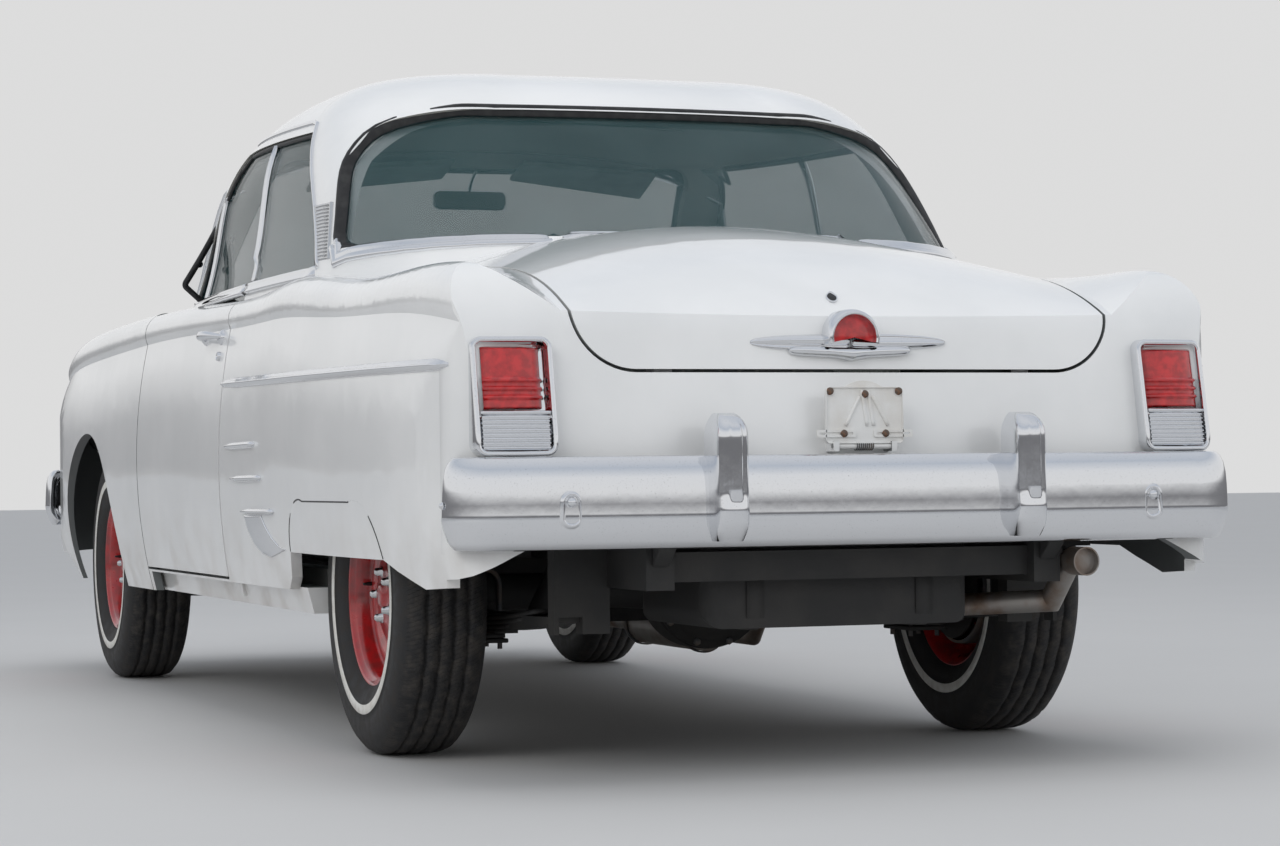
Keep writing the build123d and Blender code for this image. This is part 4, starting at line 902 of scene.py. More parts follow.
spears = []
for side, label in SIDES:
    spots = side_line(side, [(1.094, 0.861), (-0.828, 0.8395)])
    count = len(spots)
    sizes = [min(1.0, 0.62 + 0.38 * k / 6, (0.1 + (count - 1 - k) / 3.2) ** 0.55) for k in range(count)]
    spears.append(ribbon(f"side_spear_{label}", spots, flipped(SPEAR, side), *TRIM, sizes))
    for number, (x0, x1, z) in enumerate(HASH_MARKS):
        spots = side_line(side, [(x0, z), (x1, z + 0.002)], 0.01)
        count = len(spots)
        sizes = [
            min(1.0, 0.25 + 0.75 * (k / 10) ** 0.7, (0.12 + (count - 1 - k) / 2.0) ** 0.5)
            for k in range(count)]
        ribbon(f"side_mark_{label}_{number}", spots, flipped(MARK, side), *TRIM, sizes)
    # stone shield between the lowest mark and the rear wheel opening
    rear_edge = [(0.65, 0.53), (0.612, 0.503), (0.56, 0.477), (0.5, 0.458), (0.425, 0.45)]
    front_edge = [(0.835, 0.53), (0.806, 0.492), (0.752, 0.458), (0.68, 0.437), (0.59, 0.428)]
    net = []
    for i in range(41):
        s = i / 40 * 4
        k = min(3, int(s))
        t = s - k
        a = Vector(rear_edge[k]).lerp(Vector(rear_edge[k + 1]), t)
        b = Vector(front_edge[k]).lerp(Vector(front_edge[k + 1]), t)
        row = []
        for u, lift in (
                (0.0, -0.002), (0.0, 0.0022), (0.03, 0.0036), (0.08, 0.003), (0.25, 0.0026), (0.5, 0.0026),
                (0.75, 0.0026), (0.92, 0.003), (0.97, 0.0036), (1.0, 0.0022), (1.0, -0.002)):
            x, z = a.lerp(b, u)
            row.append(from_side(side, rear_x + x, z, lift if 0 < i < 40 else -0.002)[0])
        net.append(row)
    sheet(f"stone_shield_{label}", net, *TRIM)
    # ribbed plate on the pillar, with a bright border on its front and rear edges
    net = []
    for i in range(133):
        s = i / 132
        z = 1.128 + 0.142 * s
        a, b = 0.32 + 0.082 * s, 0.42 + 0.106 * s
        wave = 0.5 - 0.5 * cos(tau * 16 * s)
        row = []
        for u, lift in (
                (0.0, -0.003), (0.0, 0.002), (0.06, 0.0045), (0.12, 0.003), (0.14, 0.001 + 0.002 * wave),
                (0.5, 0.001 + 0.002 * wave), (0.86, 0.001 + 0.002 * wave), (0.88, 0.003), (0.94, 0.0045),
                (1.0, 0.002), (1.0, -0.003)):
            row.append(from_side(side, rear_x + a + (b - a) * u, z, lift if 0 < i < 132 else -0.003)[0])
        net.append(row)
    sheet(f"pillar_plate_{label}", net, soft_chrome, "body", "trim_chrome")
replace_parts(spears[0], "side_trim")

# Window surrounds. Side view outlines are (x from the rear axle, z).
HALF_BEAD = both_ways([(0.008, -0.003), (0.008, 0.002), (0.005, 0.006), (0.0, 0.0075)])
fixed_panes = tree_of("fixed_windows")


def pane_foot(turn, grow):
    """The skin point grow below the lower edge of the back glass, seen from turn round the car's rear."""
    middle = Vector((rear_x + 0.3, 0, 0))
    aim = Vector((cos(turn), -sin(turn), 0))
    for k in range(50):
        start = middle - aim * 1.6 + Vector((0, 0, 1.12 + 0.0015 * k))
        point, normal = fixed_panes.ray_cast(start, aim)[:2]
        if point is not None and (point - start).length < 1.55:
            down = (normal * normal.z - UP).normalized()
            spot = point + normal * 0.005 + down * grow
            near, out = skin.find_nearest(spot)[:2]
            return (near, (out + normal).normalized()) if (near - spot).length < 0.02 else (spot, normal)
    return None


def back_window_loop(grow):
    """Skin points grow outside the back window: up its left, over it, down its right and along its foot."""
    edge = [
        (0.31 - grow, 1.15 - grow), (0.44 + grow, 1.37), (0.455 + grow, 1.462),
        (0.405 + grow, 1.5 + grow * 0.6)]
    up = divided(edge, 0.03, False)
    left = [from_side(1, rear_x + x, z) for x, z in up]
    top_y = left[-1][0].y
    over = []
    for k in range(1, 60):
        y = top_y * (1 - 2 * k / 60)
        over.append(from_behind(y, 1.5 + grow))
    right = [from_side(-1, rear_x + x, z) for x, z in reversed(up)]
    bottom = [spot for spot in (pane_foot(radians(-86 + 172 * k / 70), grow) for k in range(71)) if spot]
    return left, over, right, bottom


def smoothed(spots, rounds=2):
    """The same loop with its points and normals evened out between neighbours."""
    for _ in range(rounds):
        spots = [
            ((spots[i - 1][0] + spots[i][0] * 2 + spots[(i + 1) % len(spots)][0]) / 4,
            (spots[i - 1][1] + spots[i][1] * 2 + spots[(i + 1) % len(spots)][1]).normalized())
            for i in range(len(spots))]
    return spots


left, over, right, bottom = back_window_loop(0.009)
loop = smoothed(left + over + right + bottom)
SEAL = [
    (0.006, -0.01), (0.006, 0.0015), (0.003, 0.0035), (-0.004, 0.0035), (-0.009, 0.0), (-0.024, -0.012),
    (-0.024, -0.018)]
ribbon("back_window_gasket", loop, SEAL, *RUBBER, closed=True)
left, _, right, bottom = back_window_loop(0.027)
BAND = both_ways([(0.02, -0.006), (0.02, 0.002), (0.015, 0.0075), (0.007, 0.0085), (0.002, 0.005)])
low_band = [left[2], left[1], left[0]] + list(reversed(bottom)) + [right[-1], right[-2], right[-3]]
ribbon("back_window_lower_moulding", low_band, BAND, *TRIM)
SEAM = both_ways([(0.0016, -0.0015), (0.0016, 0.0005)])


def through(a, b, c, steps=14):
    """Points of the arc from a to c that passes b, all in one plane."""
    a, b, c = Vector(a), Vector(b), Vector(c)
    ab, cb = a - b, c - b
    turn = 2 * (ab.x * cb.y - ab.y * cb.x)
    centre = b + Vector(
        (cb.y * ab.length_squared - ab.y * cb.length_squared,
        ab.x * cb.length_squared - cb.x * ab.length_squared)) / turn
    first, last = a - centre, c - centre
    sweep = first.angle_signed(last)
    if sweep * first.angle_signed(b - centre) < 0:
        sweep -= tau if sweep > 0 else -tau
    return [tuple(centre + Matrix.Rotation(-sweep * k / steps, 2) @ first) for k in range(steps + 1)]


skirt_line = through((-0.44, 0.447), (-0.385, 0.525), (-0.225, 0.565)) + through(
    (0.2, 0.565), (0.343, 0.525), (0.385, 0.447))
for side, label in SIDES:
    spots = [from_side(side, rear_x + x, z, 0.0004) for x, z in divided(skirt_line, 0.03, False)]
    ribbon(f"skirt_seam_{label}", spots, SEAM, *RUBBER)

# Side windows: gaskets, bright frames, the drip rail, belt mouldings, vent windows and division bars
glass_tree = tree_of("door_glass_left", "door_glass_right", "fixed_windows")


def pane_spot(side, x, z, lift=0.0):
    """A point on the side glass and its outward normal."""
    start = Vector((x, side * 1.1, z))
    point, normal = glass_tree.ray_cast(start, Vector((0, -side, 0)))[:2]
    if point is None:
        point, normal = glass_tree.find_nearest(Vector((x, side * 0.78, z)))[:2]
    if normal.y * side < 0:
        normal = -normal
    return point + normal * lift, normal


def pane_line(side, points, lift=0.002, pitch=0.03):
    return [pane_spot(side, x, z, lift) for x, z in divided(points, pitch, False)]


SLIM = both_ways([(0.0045, -0.004), (0.0045, 0.002), (0.002, 0.0045)])
BAR_SECTION = [
    (0.012, -0.006), (0.012, 0.003), (0.008, 0.0075), (0.002, 0.0095), (-0.001, 0.0065), (-0.006, 0.0065),
    (-0.01, 0.004), (-0.012, 0.003), (-0.012, -0.006)]
quarter_low = (rear_x + 0.4, belt_z)
vent_high = (front_x - 1.365, 1.505)
vent_low = (front_x - 0.985, belt_z)
for side, label in SIDES:
    # drip rail over the windows, from the windscreen pillar to the foot of the rear pillar
    rail = [
        (vent_low[0] + 0.022, belt_z + 0.045), (vent_high[0] + 0.03, 1.512), (vent_high[0] - 0.025, 1.53),
        (rear_x + 0.76, 1.498), (rear_x + 0.715, 1.489), (rear_x + 0.69, 1.47), (rear_x + 0.392, 1.112)]
    spots = [from_side(side, x, z) for x, z in divided(rail, 0.03, False)]
    ribbon(f"drip_rail_{label}", spots, scaled(SLIM, 1.5, 1.2), *TRIM)
    lining = [
        (vent_low[0] - 0.016, belt_z + 0.01), (vent_high[0] - 0.01, 1.497), (rear_x + 0.722, 1.464),
        (quarter_low[0] + 0.022, belt_z + 0.01)]
    ribbon(f"window_channel_{label}", pane_line(side, lining, 0.003), scaled(SLIM, 1.9, 1.1), *RUBBER)
    # belt mouldings: one on the door, one on the quarter
    for part, body, x0, x1 in (
            ("door", f"door_{label}", vent_low[0] - 0.002, door_rear_x - 0.004),
            ("quarter", "body", door_rear_x - 0.012, quarter_low[0] + 0.004)):
        spots = []
        for x, z in divided([(x0, 1.103), (x1, 1.103)], 0.04, False):
            point, normal = pane_spot(side, x, z, 0.012)
            spots.append((point, Vector((0, side, 0.25)).normalized()))
        belt = [
            (0.014, -0.006), (0.014, 0.002), (0.01, 0.0055), (0.006, 0.0035), (-0.004, 0.0045),
            (-0.011, 0.01), (-0.015, 0.0085), (-0.016, -0.002), (-0.016, -0.006)]
        ribbon(f"belt_moulding_{part}_{label}", spots, flipped(belt, -side), chrome, body, "trim_chrome")
        felt = [(p - o * 0.007 + Vector((0, 0, 0.01)), o) for p, o in spots]
        ribbon(
            f"belt_felt_{part}_{label}", felt, [(0.004, -0.004), (0.004, 0.004), (-0.006, 0.004),
            (-0.006, -0.004)], gasket, body, "body_paint")
    # bar between the door glass and the quarter glass
    bar = [(door_rear_x - 0.026, 1.096), (door_rear_x + 0.01, 1.474)]
    ribbon(f"division_bar_{label}", pane_line(side, bar, 0.003), BAR_SECTION, *TRIM)
    # vent window: a fixed post and a framed pane, swung open on the driver's side
    post_low, post_high = (vent_low[0] - 0.235, 1.1), (vent_high[0] + 0.085, 1.486)
    post = pane_line(side, [post_low, post_high], 0.003)
    ribbon(f"vent_post_{label}", post, BAR_SECTION, chrome, f"door_{label}", "trim_chrome")
    frame_line = [(post_low[0] + 0.014, 1.112), (vent_low[0] - 0.045, 1.112), (vent_high[0] + 0.098, 1.455)]
    outline = rounded_outline(frame_line, 0.012, 4)
    loop = [pane_spot(side, x, z, 0.004) for x, z in divided(outline, 0.03)]
    if side > 0:
        pivot = pane_spot(1, vent_low[0] - 0.14, 1.112)[0]
        top = pane_spot(1, vent_high[0] + 0.1, 1.455)[0]
        turn = Matrix.Translation(pivot) @ Matrix.Rotation(radians(-72), 4, (top - pivot).normalized())
        turn = turn @ Matrix.Translation(-pivot)
        spin = turn.to_3x3()
        loop = [(turn @ p, (spin @ n).normalized()) for p, n in loop]
    ribbon(
        f"vent_frame_{label}", loop, scaled(SLIM, 1.7, 1.3), chrome if side < 0 else gasket,
        f"door_{label}", "trim_chrome", closed=True)
    count = len(loop)
    middle = sum((p for p, n in loop), Vector()) / count
    rows = [
        [middle.lerp(p, 0.985) - n * 0.0015 for p, n in loop],
        [middle.lerp(p, 0.5) - loop[0][1] * 0.0015 for p, n in loop],
        [middle.lerp(p, 0.02) - loop[0][1] * 0.0015 for p, n in loop]]
    piece(f"vent_pane_{label}", *grid(rows, False, True), glass, f"door_{label}", "tinted_glass")
    latch = middle.lerp(loop[-2][0], 0.86)
    lathed(
        f"vent_latch_{label}", [(0.0, 0.012), (0.007, 0.011), (0.009, 0.006), (0.006, 0.001),
        (0.01, -0.003)], chrome, f"door_{label}", "trim_chrome", latch, loop[0][1], 16)

# Door handles and locks
HANDLE = both_ways([(0.01, -0.002), (0.0115, 0.004), (0.008, 0.0105), (0.0, 0.013)])
for side, label in SIDES:
    body = f"door_{label}"
    spots, sizes = [], []
    for k in range(25):
        x = door_rear_x + 0.06 + 0.215 * k / 24
        point, normal = from_side(side, x, 0.985)
        arch = sin(pi * min(1.0, max(0.0, (k - 1) / 20)))
        spots.append((point + normal * (0.006 + 0.03 * arch ** 0.6), normal))
        sizes.append(0.55 + 0.55 * (1 - k / 24) * arch + 0.25 * arch)
    ribbon(f"door_handle_{label}", spots, HANDLE, chrome, body, "trim_chrome", sizes)
    for x, grow in ((door_rear_x + 0.075, 1.0), (door_rear_x + 0.262, 0.7)):
        point, normal = from_side(side, x, 0.985)
        lathed(
            f"door_handle_rose_{label}_{int(x * -1000)}",
            [(0.0, 0.012), (0.012 * grow, 0.011), (0.017 * grow, 0.007), (0.021 * grow, 0.002),
            (0.022 * grow, -0.003)], chrome, body, "trim_chrome", point, normal, 28)
    point, normal = from_side(side, door_rear_x + 0.075, 0.935)
    lathed(
        f"door_lock_{label}", [(0.0, 0.004), (0.0075, 0.0045), (0.0085, 0.008), (0.0105, 0.0085),
        (0.0125, 0.004), (0.013, -0.002)], chrome, body, "trim_chrome", point, normal, 28)

# Seats: each cushion is a pleated pad with a rolled border, puffed up by a cloth pass
def pad_mesh(length, width, height, crown):
    """A closed pad round the origin, crowned on its upper side, its sides pulled in at mid height."""
    verts, faces = [], []
    layers = 9
    ring = []
    for k in range(4 * 14):
        side, t = divmod(k, 14)
        u = -1 + 2 * t / 14
        spot = [(u, -1), (1, u), (-u, 1), (-1, -u)][side]
        n = (abs(spot[0]) ** 7 + abs(spot[1]) ** 7) ** (1 / 7)
        ring.append((spot[0] / n, spot[1] / n))
    for j in range(layers):
        v = j / (layers - 1)
        tuck = 1 - 0.035 * sin(pi * v) - 0.02 * (abs(v - 0.5) * 2) ** 4
        for x, y in ring:
            verts.append((x * length / 2 * tuck, y * width / 2 * tuck, (v - 0.5) * height))
    count = len(ring)
    for j in range(layers - 1):
        for k in range(count):
            a, b = j * count + k, j * count + (k + 1) % count
            faces.append((a, b, b + count, a + count))
    for level, direction in ((0, -1), (layers - 1, 1)):
        last = [level * count + k for k in range(count)]
        for shrink in (0.9, 0.72, 0.5, 0.28, 0.1):
            base = len(verts)
            for x, y in ring:
                rise = crown * (1 - (x * shrink) ** 4) * (1 - (y * shrink) ** 4) * (
                    1 if direction > 0 else 0.25)
                verts.append(
                    (x * shrink * length / 2, y * shrink * width / 2,
                    (level / (layers - 1) - 0.5) * height + direction * rise))
            ring_now = [base + k for k in range(count)]
            for k in range(count):
                face = (last[k], last[(k + 1) % count], ring_now[(k + 1) % count], ring_now[k])
                faces.append(face if direction > 0 else tuple(reversed(face)))
            last = ring_now
        faces.append(tuple(last) if direction > 0 else tuple(reversed(last)))
    return verts, faces


def cushion(name, length, width, height, crown, matrix, finish, pleats, body="body", cap=0.012):
    """A puffed cushion. Pleats are channels across its width, pressed into the top after the cloth pass."""
    pad = piece(name, *pad_mesh(length, width, height, crown), finish, body, "seat_fabric")
    mesh = pad.data
    view = bpy.context.view_layer
    remesh = pad.modifiers.new("voxels", "REMESH")
    remesh.mode = "VOXEL"
    remesh.voxel_size = 0.014
    view.update()
    start = bpy.data.meshes.new_from_object(pad.evaluated_get(view.depsgraph))
    pad.modifiers.clear()
    pad.data = start
    before = [v.co.copy() for v in start.vertices]
    cloth = pad.modifiers.new("cloth", "CLOTH")
    cloth.settings.use_pressure = True
    cloth.settings.uniform_pressure_force = 4.0
    cloth.settings.effector_weights.gravity = 0.0
    cloth.point_cache.frame_start = 1
    cloth.point_cache.frame_end = 20
    for step in range(1, 13):
        bpy.context.scene.frame_set(step)
    puffed = bpy.data.meshes.new_from_object(pad.evaluated_get(bpy.context.evaluated_depsgraph_get()))
    pad.modifiers.clear()
    bpy.context.scene.frame_set(1)
    for vertex, rest in zip(puffed.vertices, before):
        move = vertex.co - rest
        if move.length > cap:
            vertex.co = rest + move.normalized() * cap
    pad.data = puffed
    mesh = puffed
    pitch = (width - 0.1) / pleats
    for vertex in mesh.vertices:
        x, y, z = vertex.co
        inside = min(1.0, max(0.0, (length / 2 - 0.055 - abs(x)) / 0.03)) * min(
            1.0, max(0.0, (width / 2 - 0.05 - abs(y)) / 0.02))
        if z > 0:
            wave = abs(sin(pi * (y + width / 2 - 0.05) / pitch))
            vertex.co.z += inside * (0.009 * wave ** 0.6 - 0.006)
            rim_x, rim_y = abs(abs(x) - (length / 2 - 0.045)), abs(abs(y) - (width / 2 - 0.045))
            seam = max(
                max(0.0, 1 - rim_x / 0.01) * (abs(y) < width / 2 - 0.035),
                max(0.0, 1 - rim_y / 0.01) * (abs(x) < length / 2 - 0.035))
            vertex.co.z -= 0.007 * seam
    mesh.transform(matrix)
    mesh.polygons.foreach_set("use_smooth", [True] * len(mesh.polygons))
    if mesh.materials:
        mesh.materials.clear()
    mesh.materials.append(finish.material)
    mesh.update()
    return subdivided(pad, 1)


def seat_place(x, z, tilt):
    """Where a pad lies: its middle, and how far its front is turned up in degrees."""
    return Matrix.Translation((x, 0, z)) @ Matrix.Rotation(radians(-tilt), 4, "Y")


def cloth_finish(name, light, dark, thread):
    """Woven seat cloth with a fine stripe and dull sheen."""
    finish = Finish(name, Sheen_Weight=0.35, Sheen_Roughness=0.5)
    x, y, z = finish.parts(finish.place())
    warp = (y * 2600.0).sine() * 0.5 + 0.5
    weft = (x * 2600.0 + z * 2600.0).sine() * 0.5 + 0.5
    stripe = ((y * 130.0).sine() * 0.5 + 0.5).step(0.85, 0.97)
    soil = finish.noise(7.0, 5.0).step(0.4, 0.75)
    woven = finish.mix(warp * weft, dark, light)
    finish.feed(Base_Color=finish.mix(stripe * 0.5 + soil * 0.2, woven, thread), Roughness=0.8 + soil * 0.15)
    return finish.bump(warp * weft, 0.0008)


bench_cloth = cloth_finish("bench_cloth", (0.3, 0.32, 0.3), (0.17, 0.19, 0.18), (0.42, 0.42, 0.38))
bench_vinyl = plain_finish("bench_vinyl", (0.36, 0.37, 0.35), (0.29, 0.29, 0.27), 0.38, 20.0, 0.0006, 420.0)
VINYL = (bench_vinyl, "body", "seat_fabric")
front_base = cushion(
    "front_seat_cushion", 0.5, 1.24, 0.15, 0.018, seat_place(rear_x + 1.375, 0.548, 4), bench_cloth, 18)
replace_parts(front_base, "front_seat")
cushion("front_seat_back", 0.54, 1.24, 0.11, 0.016, seat_place(rear_x + 1.03, 0.8, 77), bench_cloth, 18)
rear_base = cushion(
    "rear_seat_cushion", 0.4, 1.04, 0.14, 0.016, seat_place(rear_x + 0.69, 0.505, 3), bench_cloth, 15)
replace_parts(rear_base, "rear_seat")
cushion("rear_seat_back", 0.46, 1.04, 0.09, 0.014, seat_place(rear_x + 0.385, 0.8, 75), bench_cloth, 15)


def shell_box(name, outline, y0, y1, finish, body, slot, edge=0.012):
    """A side view outline of (x, z) pushed from y0 to y1, with rounded edges."""
    return block(name, [(x, y0, z) for x, z in outline], (0, y1 - y0, 0), finish, body, slot, edge)


shell_box(
    "front_seat_base", [(rear_x + 1.13, 0.4), (rear_x + 1.6, 0.41), (rear_x + 1.61, 0.475),
    (rear_x + 1.13, 0.462)], -0.63, 0.63, *VINYL)
shell_box(
    "front_seat_back_shell", [(rear_x + 0.985, 0.44), (rear_x + 1.055, 0.44), (rear_x + 0.985, 1.02),
    (rear_x + 0.93, 1.03)], -0.625, 0.625, *VINYL, 0.016)
shell_box(
    "rear_seat_base", [(rear_x + 0.53, 0.37), (rear_x + 0.88, 0.37), (rear_x + 0.89, 0.445),
    (rear_x + 0.52, 0.435)], -0.53, 0.53, *VINYL)
for side, label in SIDES:
    y = side * 0.42
    for x0, x1, z0, z1, part in (
            (rear_x + 1.16, rear_x + 1.57, 0.3605, 0.378, "track"),
            (rear_x + 1.19, rear_x + 1.52, 0.376, 0.402, "slide")):
        shell_box(
            f"seat_{part}_{label}", [(x0, z0), (x1, z0), (x1, z1), (x0, z1)], y - 0.018, y + 0.018, *BLACK,
            0.003)


# Dashboard with its dials, radio and glove box
firewall_x = cowl_x - 0.06
face_x = firewall_x - 0.19
DASH_PROFILE = [
    (0.003, 1.048), (0.06, 1.0535), (0.12, 1.0535), (0.152, 1.048), (0.174, 1.036), (0.183, 1.022),
    (0.1835, 1.008), (0.177, 0.996), (0.174, 0.988), (0.179, 0.95), (0.186, 0.905), (0.19, 0.883),
    (0.199, 0.875), (0.206, 0.864), (0.203, 0.852), (0.193, 0.849), (0.15, 0.851), (0.122, 0.998),
    (0.003, 1.01),
]
rows = []
for k in range(81):
    y = -0.655 + 1.31 * k / 80
    brow = max(0.0, 1 - (abs(y - 0.37) / 0.235) ** 4)
    rows.append(
        [Vector((firewall_x - d - (0.006 * brow if 0.15 < d < 0.185 and z > 1.0 else 0.0), y, z))
        for d, z in DASH_PROFILE])
dash = piece("dashboard_dressed", *grid(rows, False, True, True), dash_paint, "body", "dash_paint")
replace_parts(rounded(dash, 0.002), "dashboard")


def dial_finish(name, radius, marks):
    """A dark dial face with pale marks round its upper three quarters."""
    finish = Finish(name, Roughness=0.4)
    x, y, z = finish.parts(finish.place())
    out = (y * y + z * z).root()
    around = x.math("ARCTAN2", y, z)
    fine = (around * (marks * 2.0)).sine().step(0.86, 0.95) * out.step(radius * 0.8, radius * 0.81)
    bold = (around * (marks * 0.5)).sine().step(0.95, 0.985) * out.step(radius * 0.66, radius * 0.67)
    shown = fine.most(bold) * (1.0 - out.step(radius * 0.9, radius * 0.91)) * (
        1.0 - abs(around).step(2.3, 2.35))
    dust = finish.noise(160.0, 3.0) * 0.2
    finish.feed(
        Base_Color=finish.mix(shown - dust, (0.015, 0.017, 0.019), (0.72, 0.71, 0.62)),
        Roughness=0.35 + dust)
    return finish


dial_big = dial_finish("dial_face_large", 0.07, 30.0)
dial_small = dial_finish("dial_face_small", 0.04, 12.0)
needle_paint = plain_finish("needle_red", (0.6, 0.1, 0.03), (0.5, 0.08, 0.03), 0.4, 60.0, 0.0001)
for y, z, radius, finish, angle in (
        (0.37, 0.94, 0.07, dial_big, -0.9), (0.495, 0.938, 0.04, dial_small, 0.5),
        (0.245, 0.938, 0.04, dial_small, -0.4), (-0.115, 0.945, 0.036, dial_small, 1.1)):
    label = f"{int(y * 1000)}".replace("-", "r")
    at = (face_x + 0.006, y, z)
    bezel = [
        (radius + 0.01, -0.002), (radius + 0.009, 0.007), (radius + 0.005, 0.011), (radius + 0.001, 0.01),
        (radius - 0.002, 0.005), (radius - 0.002, -0.002)]
    lathed(f"dial_bezel_{label}", bezel, *TRIM, at, BACKWARD, 48, True)
    lathed(
        f"dial_face_{label}", [(0.0, 0.002), (radius - 0.001, 0.002), (radius - 0.001, -0.004)], finish,
        "body", "dash_paint", at, BACKWARD, 48)
    tip = Vector((0, sin(angle), cos(angle)))
    wide = Vector((0, cos(angle), -sin(angle)))
    middle = Vector(at) + Vector((-0.0042, 0, 0))
    block(
        f"dial_needle_{label}", [middle - tip * radius * 0.2 - wide * 0.0016, middle + tip * radius * 0.78,
        middle - tip * radius * 0.2 + wide * 0.0016], (0.0014, 0, 0), needle_paint, "body", "dash_paint",
        0.0003)
    lathed(
        f"dial_cap_{label}", [(0.0, 0.0065), (0.003, 0.006), (0.005, 0.003), (0.005, 0.001)], *TRIM, at,
        BACKWARD, 20)


def panel(name, y0, y1, z0, z1, finish, slot, deep=0.008, sink=0.004, edge=0.003):
    """A raised rectangle on the face of the dashboard."""
    x = face_x + sink
    return block(
        name, [(x, y0, z0), (x, y1, z0), (x, y1, z1), (x, y0, z1)], (-deep, 0, 0), finish, "body", slot,
        edge)


KNOB = [
    (0.0, 0.024), (0.006, 0.0238), (0.0095, 0.021), (0.0105, 0.014), (0.009, 0.008), (0.0055, 0.005),
    (0.005, -0.004)]
panel("radio_bezel", -0.005, 0.165, 0.868, 0.934, chrome, "trim_chrome", 0.01, 0.005)
panel("radio_scale", 0.02, 0.14, 0.9, 0.926, ivory, "steering_plastic", 0.0125, 0.005, 0.002)
for k in range(5):
    y = 0.028 + 0.026 * k
    panel(f"radio_key_{k}", y - 0.01, y + 0.01, 0.875, 0.891, ivory, "steering_plastic", 0.018, 0.004, 0.003)
for y in (0.008, 0.152):
    lathed(f"radio_knob_{int(y * 1000)}", KNOB, *IVORY, (face_x - 0.004, y, 0.912), BACKWARD, 24)
for k in range(13):
    y = 0.002 + 0.013 * k
    panel(
        f"speaker_bar_{k}", y - 0.0035, y + 0.0035, 0.944, 0.99, chrome, "trim_chrome", 0.008, 0.012, 0.002)
panel("speaker_back", -0.004, 0.164, 0.942, 0.992, gasket, "trim_chrome", 0.003, 0.013, 0.001)
panel("glove_box_lid", -0.56, -0.2, 0.88, 0.982, dash_paint, "dash_paint", 0.01, 0.012, 0.006)
lathed("glove_box_lock", KNOB, *TRIM, (face_x + 0.002, -0.38, 0.968), BACKWARD, 24)
panel("glove_box_bead", -0.545, -0.215, 0.924, 0.931, chrome, "trim_chrome", 0.014, 0.012, 0.003)
panel("ash_tray", -0.13, -0.03, 0.868, 0.896, chrome, "trim_chrome", 0.01, 0.005, 0.004)
for k, y in enumerate((0.2, 0.225, 0.445, 0.475, 0.525, 0.555)):
    lathed(
        f"dash_knob_{k}", KNOB, ivory if k % 2 else chrome, "body",
        "steering_plastic" if k % 2 else "trim_chrome", (face_x - 0.002, y, 0.873 if y < 0.5 else 0.884),
        BACKWARD, 24)
strip = [
    (Vector((firewall_x - 0.1775, -0.65 + 1.3 * k / 26, 0.9955)), Vector((-1, 0, 0.2))) for k in range(27)]
ribbon("dash_strip", strip, both_ways([(0.004, 0.0), (0.003, 0.003), (0.0, 0.0042)]), *TRIM)

# Steering wheel and column
tilt = radians(28)
wheel_centre = Vector((firewall_x - 0.42, 0.37, 0.985))
column_axis = Vector((cos(tilt), 0, -sin(tilt)))
wheel_turn = UP.rotation_difference(-column_axis)
wheel_body = "steering_wheel"
RIM_REACH = 0.205
rows = []
for k in range(144):
    a = tau * k / 144
    ring = []
    for j in range(12):
        b = tau * j / 12
        grip = 0.0012 * max(0.0, -sin(b)) * (0.5 + 0.5 * cos(a * 48))
        r = 0.0112 + grip
        reach = RIM_REACH + r * cos(b)
        ring.append(wheel_centre + wheel_turn @ Vector((reach * cos(a), reach * sin(a), r * sin(b))))
    rows.append(ring)
rim = piece("steering_rim", *grid(rows, True, True), ivory, wheel_body, "steering_plastic")
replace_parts(rim, "steering_wheel")
HUB = [
    (0.0, 0.028), (0.02, 0.0275), (0.03, 0.023), (0.036, 0.014), (0.04, 0.002), (0.038, -0.012),
    (0.032, -0.024), (0.026, -0.03), (0.0, -0.03)]
lathed("steering_hub", HUB, ivory, wheel_body, "steering_plastic", wheel_centre, -column_axis, 48)
BUTTON = [(0.0, 0.036), (0.01, 0.0355), (0.018, 0.033), (0.0225, 0.0285), (0.0225, 0.024)]
lathed("horn_button", BUTTON, chrome, wheel_body, "trim_chrome", wheel_centre, -column_axis, 40)
SPOKE = [
    (0.017, 0.0), (0.013, 0.0045), (0.0, 0.006), (-0.013, 0.0045), (-0.017, 0.0), (-0.01, -0.0035),
    (0.01, -0.0035)]
for side in (1, -1):
    path = []
    for k in range(9):
        reach = 0.03 + 0.166 * k / 8
        spot = Vector((-0.01 * sin(pi * k / 8), side * reach, 0.012 - 0.012 * k / 8))
        path.append((wheel_centre + wheel_turn @ spot, wheel_turn @ UP))
    ribbon(
        f"steering_spoke_{side + 1}", path, SPOKE, ivory, wheel_body, "steering_plastic",
        [1.25 - 0.45 * sin(pi * min(1, k / 6) * 0.5) for k in range(9)])
ROD = circle(0.0032, 8)
arc = [
    (wheel_centre + wheel_turn @ Vector((-0.118 * sin(pi * k / 30), 0.118 * cos(pi * k / 30), 0.014)),
    wheel_turn @ UP) for k in range(31)]
ribbon("horn_ring", arc, ROD, chrome, wheel_body, "trim_chrome")
JACKET = [
    (0.0, 0.0), (0.027, 0.0), (0.029, 0.01), (0.029, 0.045), (0.0235, 0.058), (0.0225, 0.07),
    (0.0225, 0.36), (0.0, 0.36)]
column_start = wheel_centre + column_axis * 0.0325
jacket = lathed(
    "steering_jacket", JACKET, dash_paint, "body", "chassis_black", column_start, column_axis, 40)
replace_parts(jacket, "steering_column")
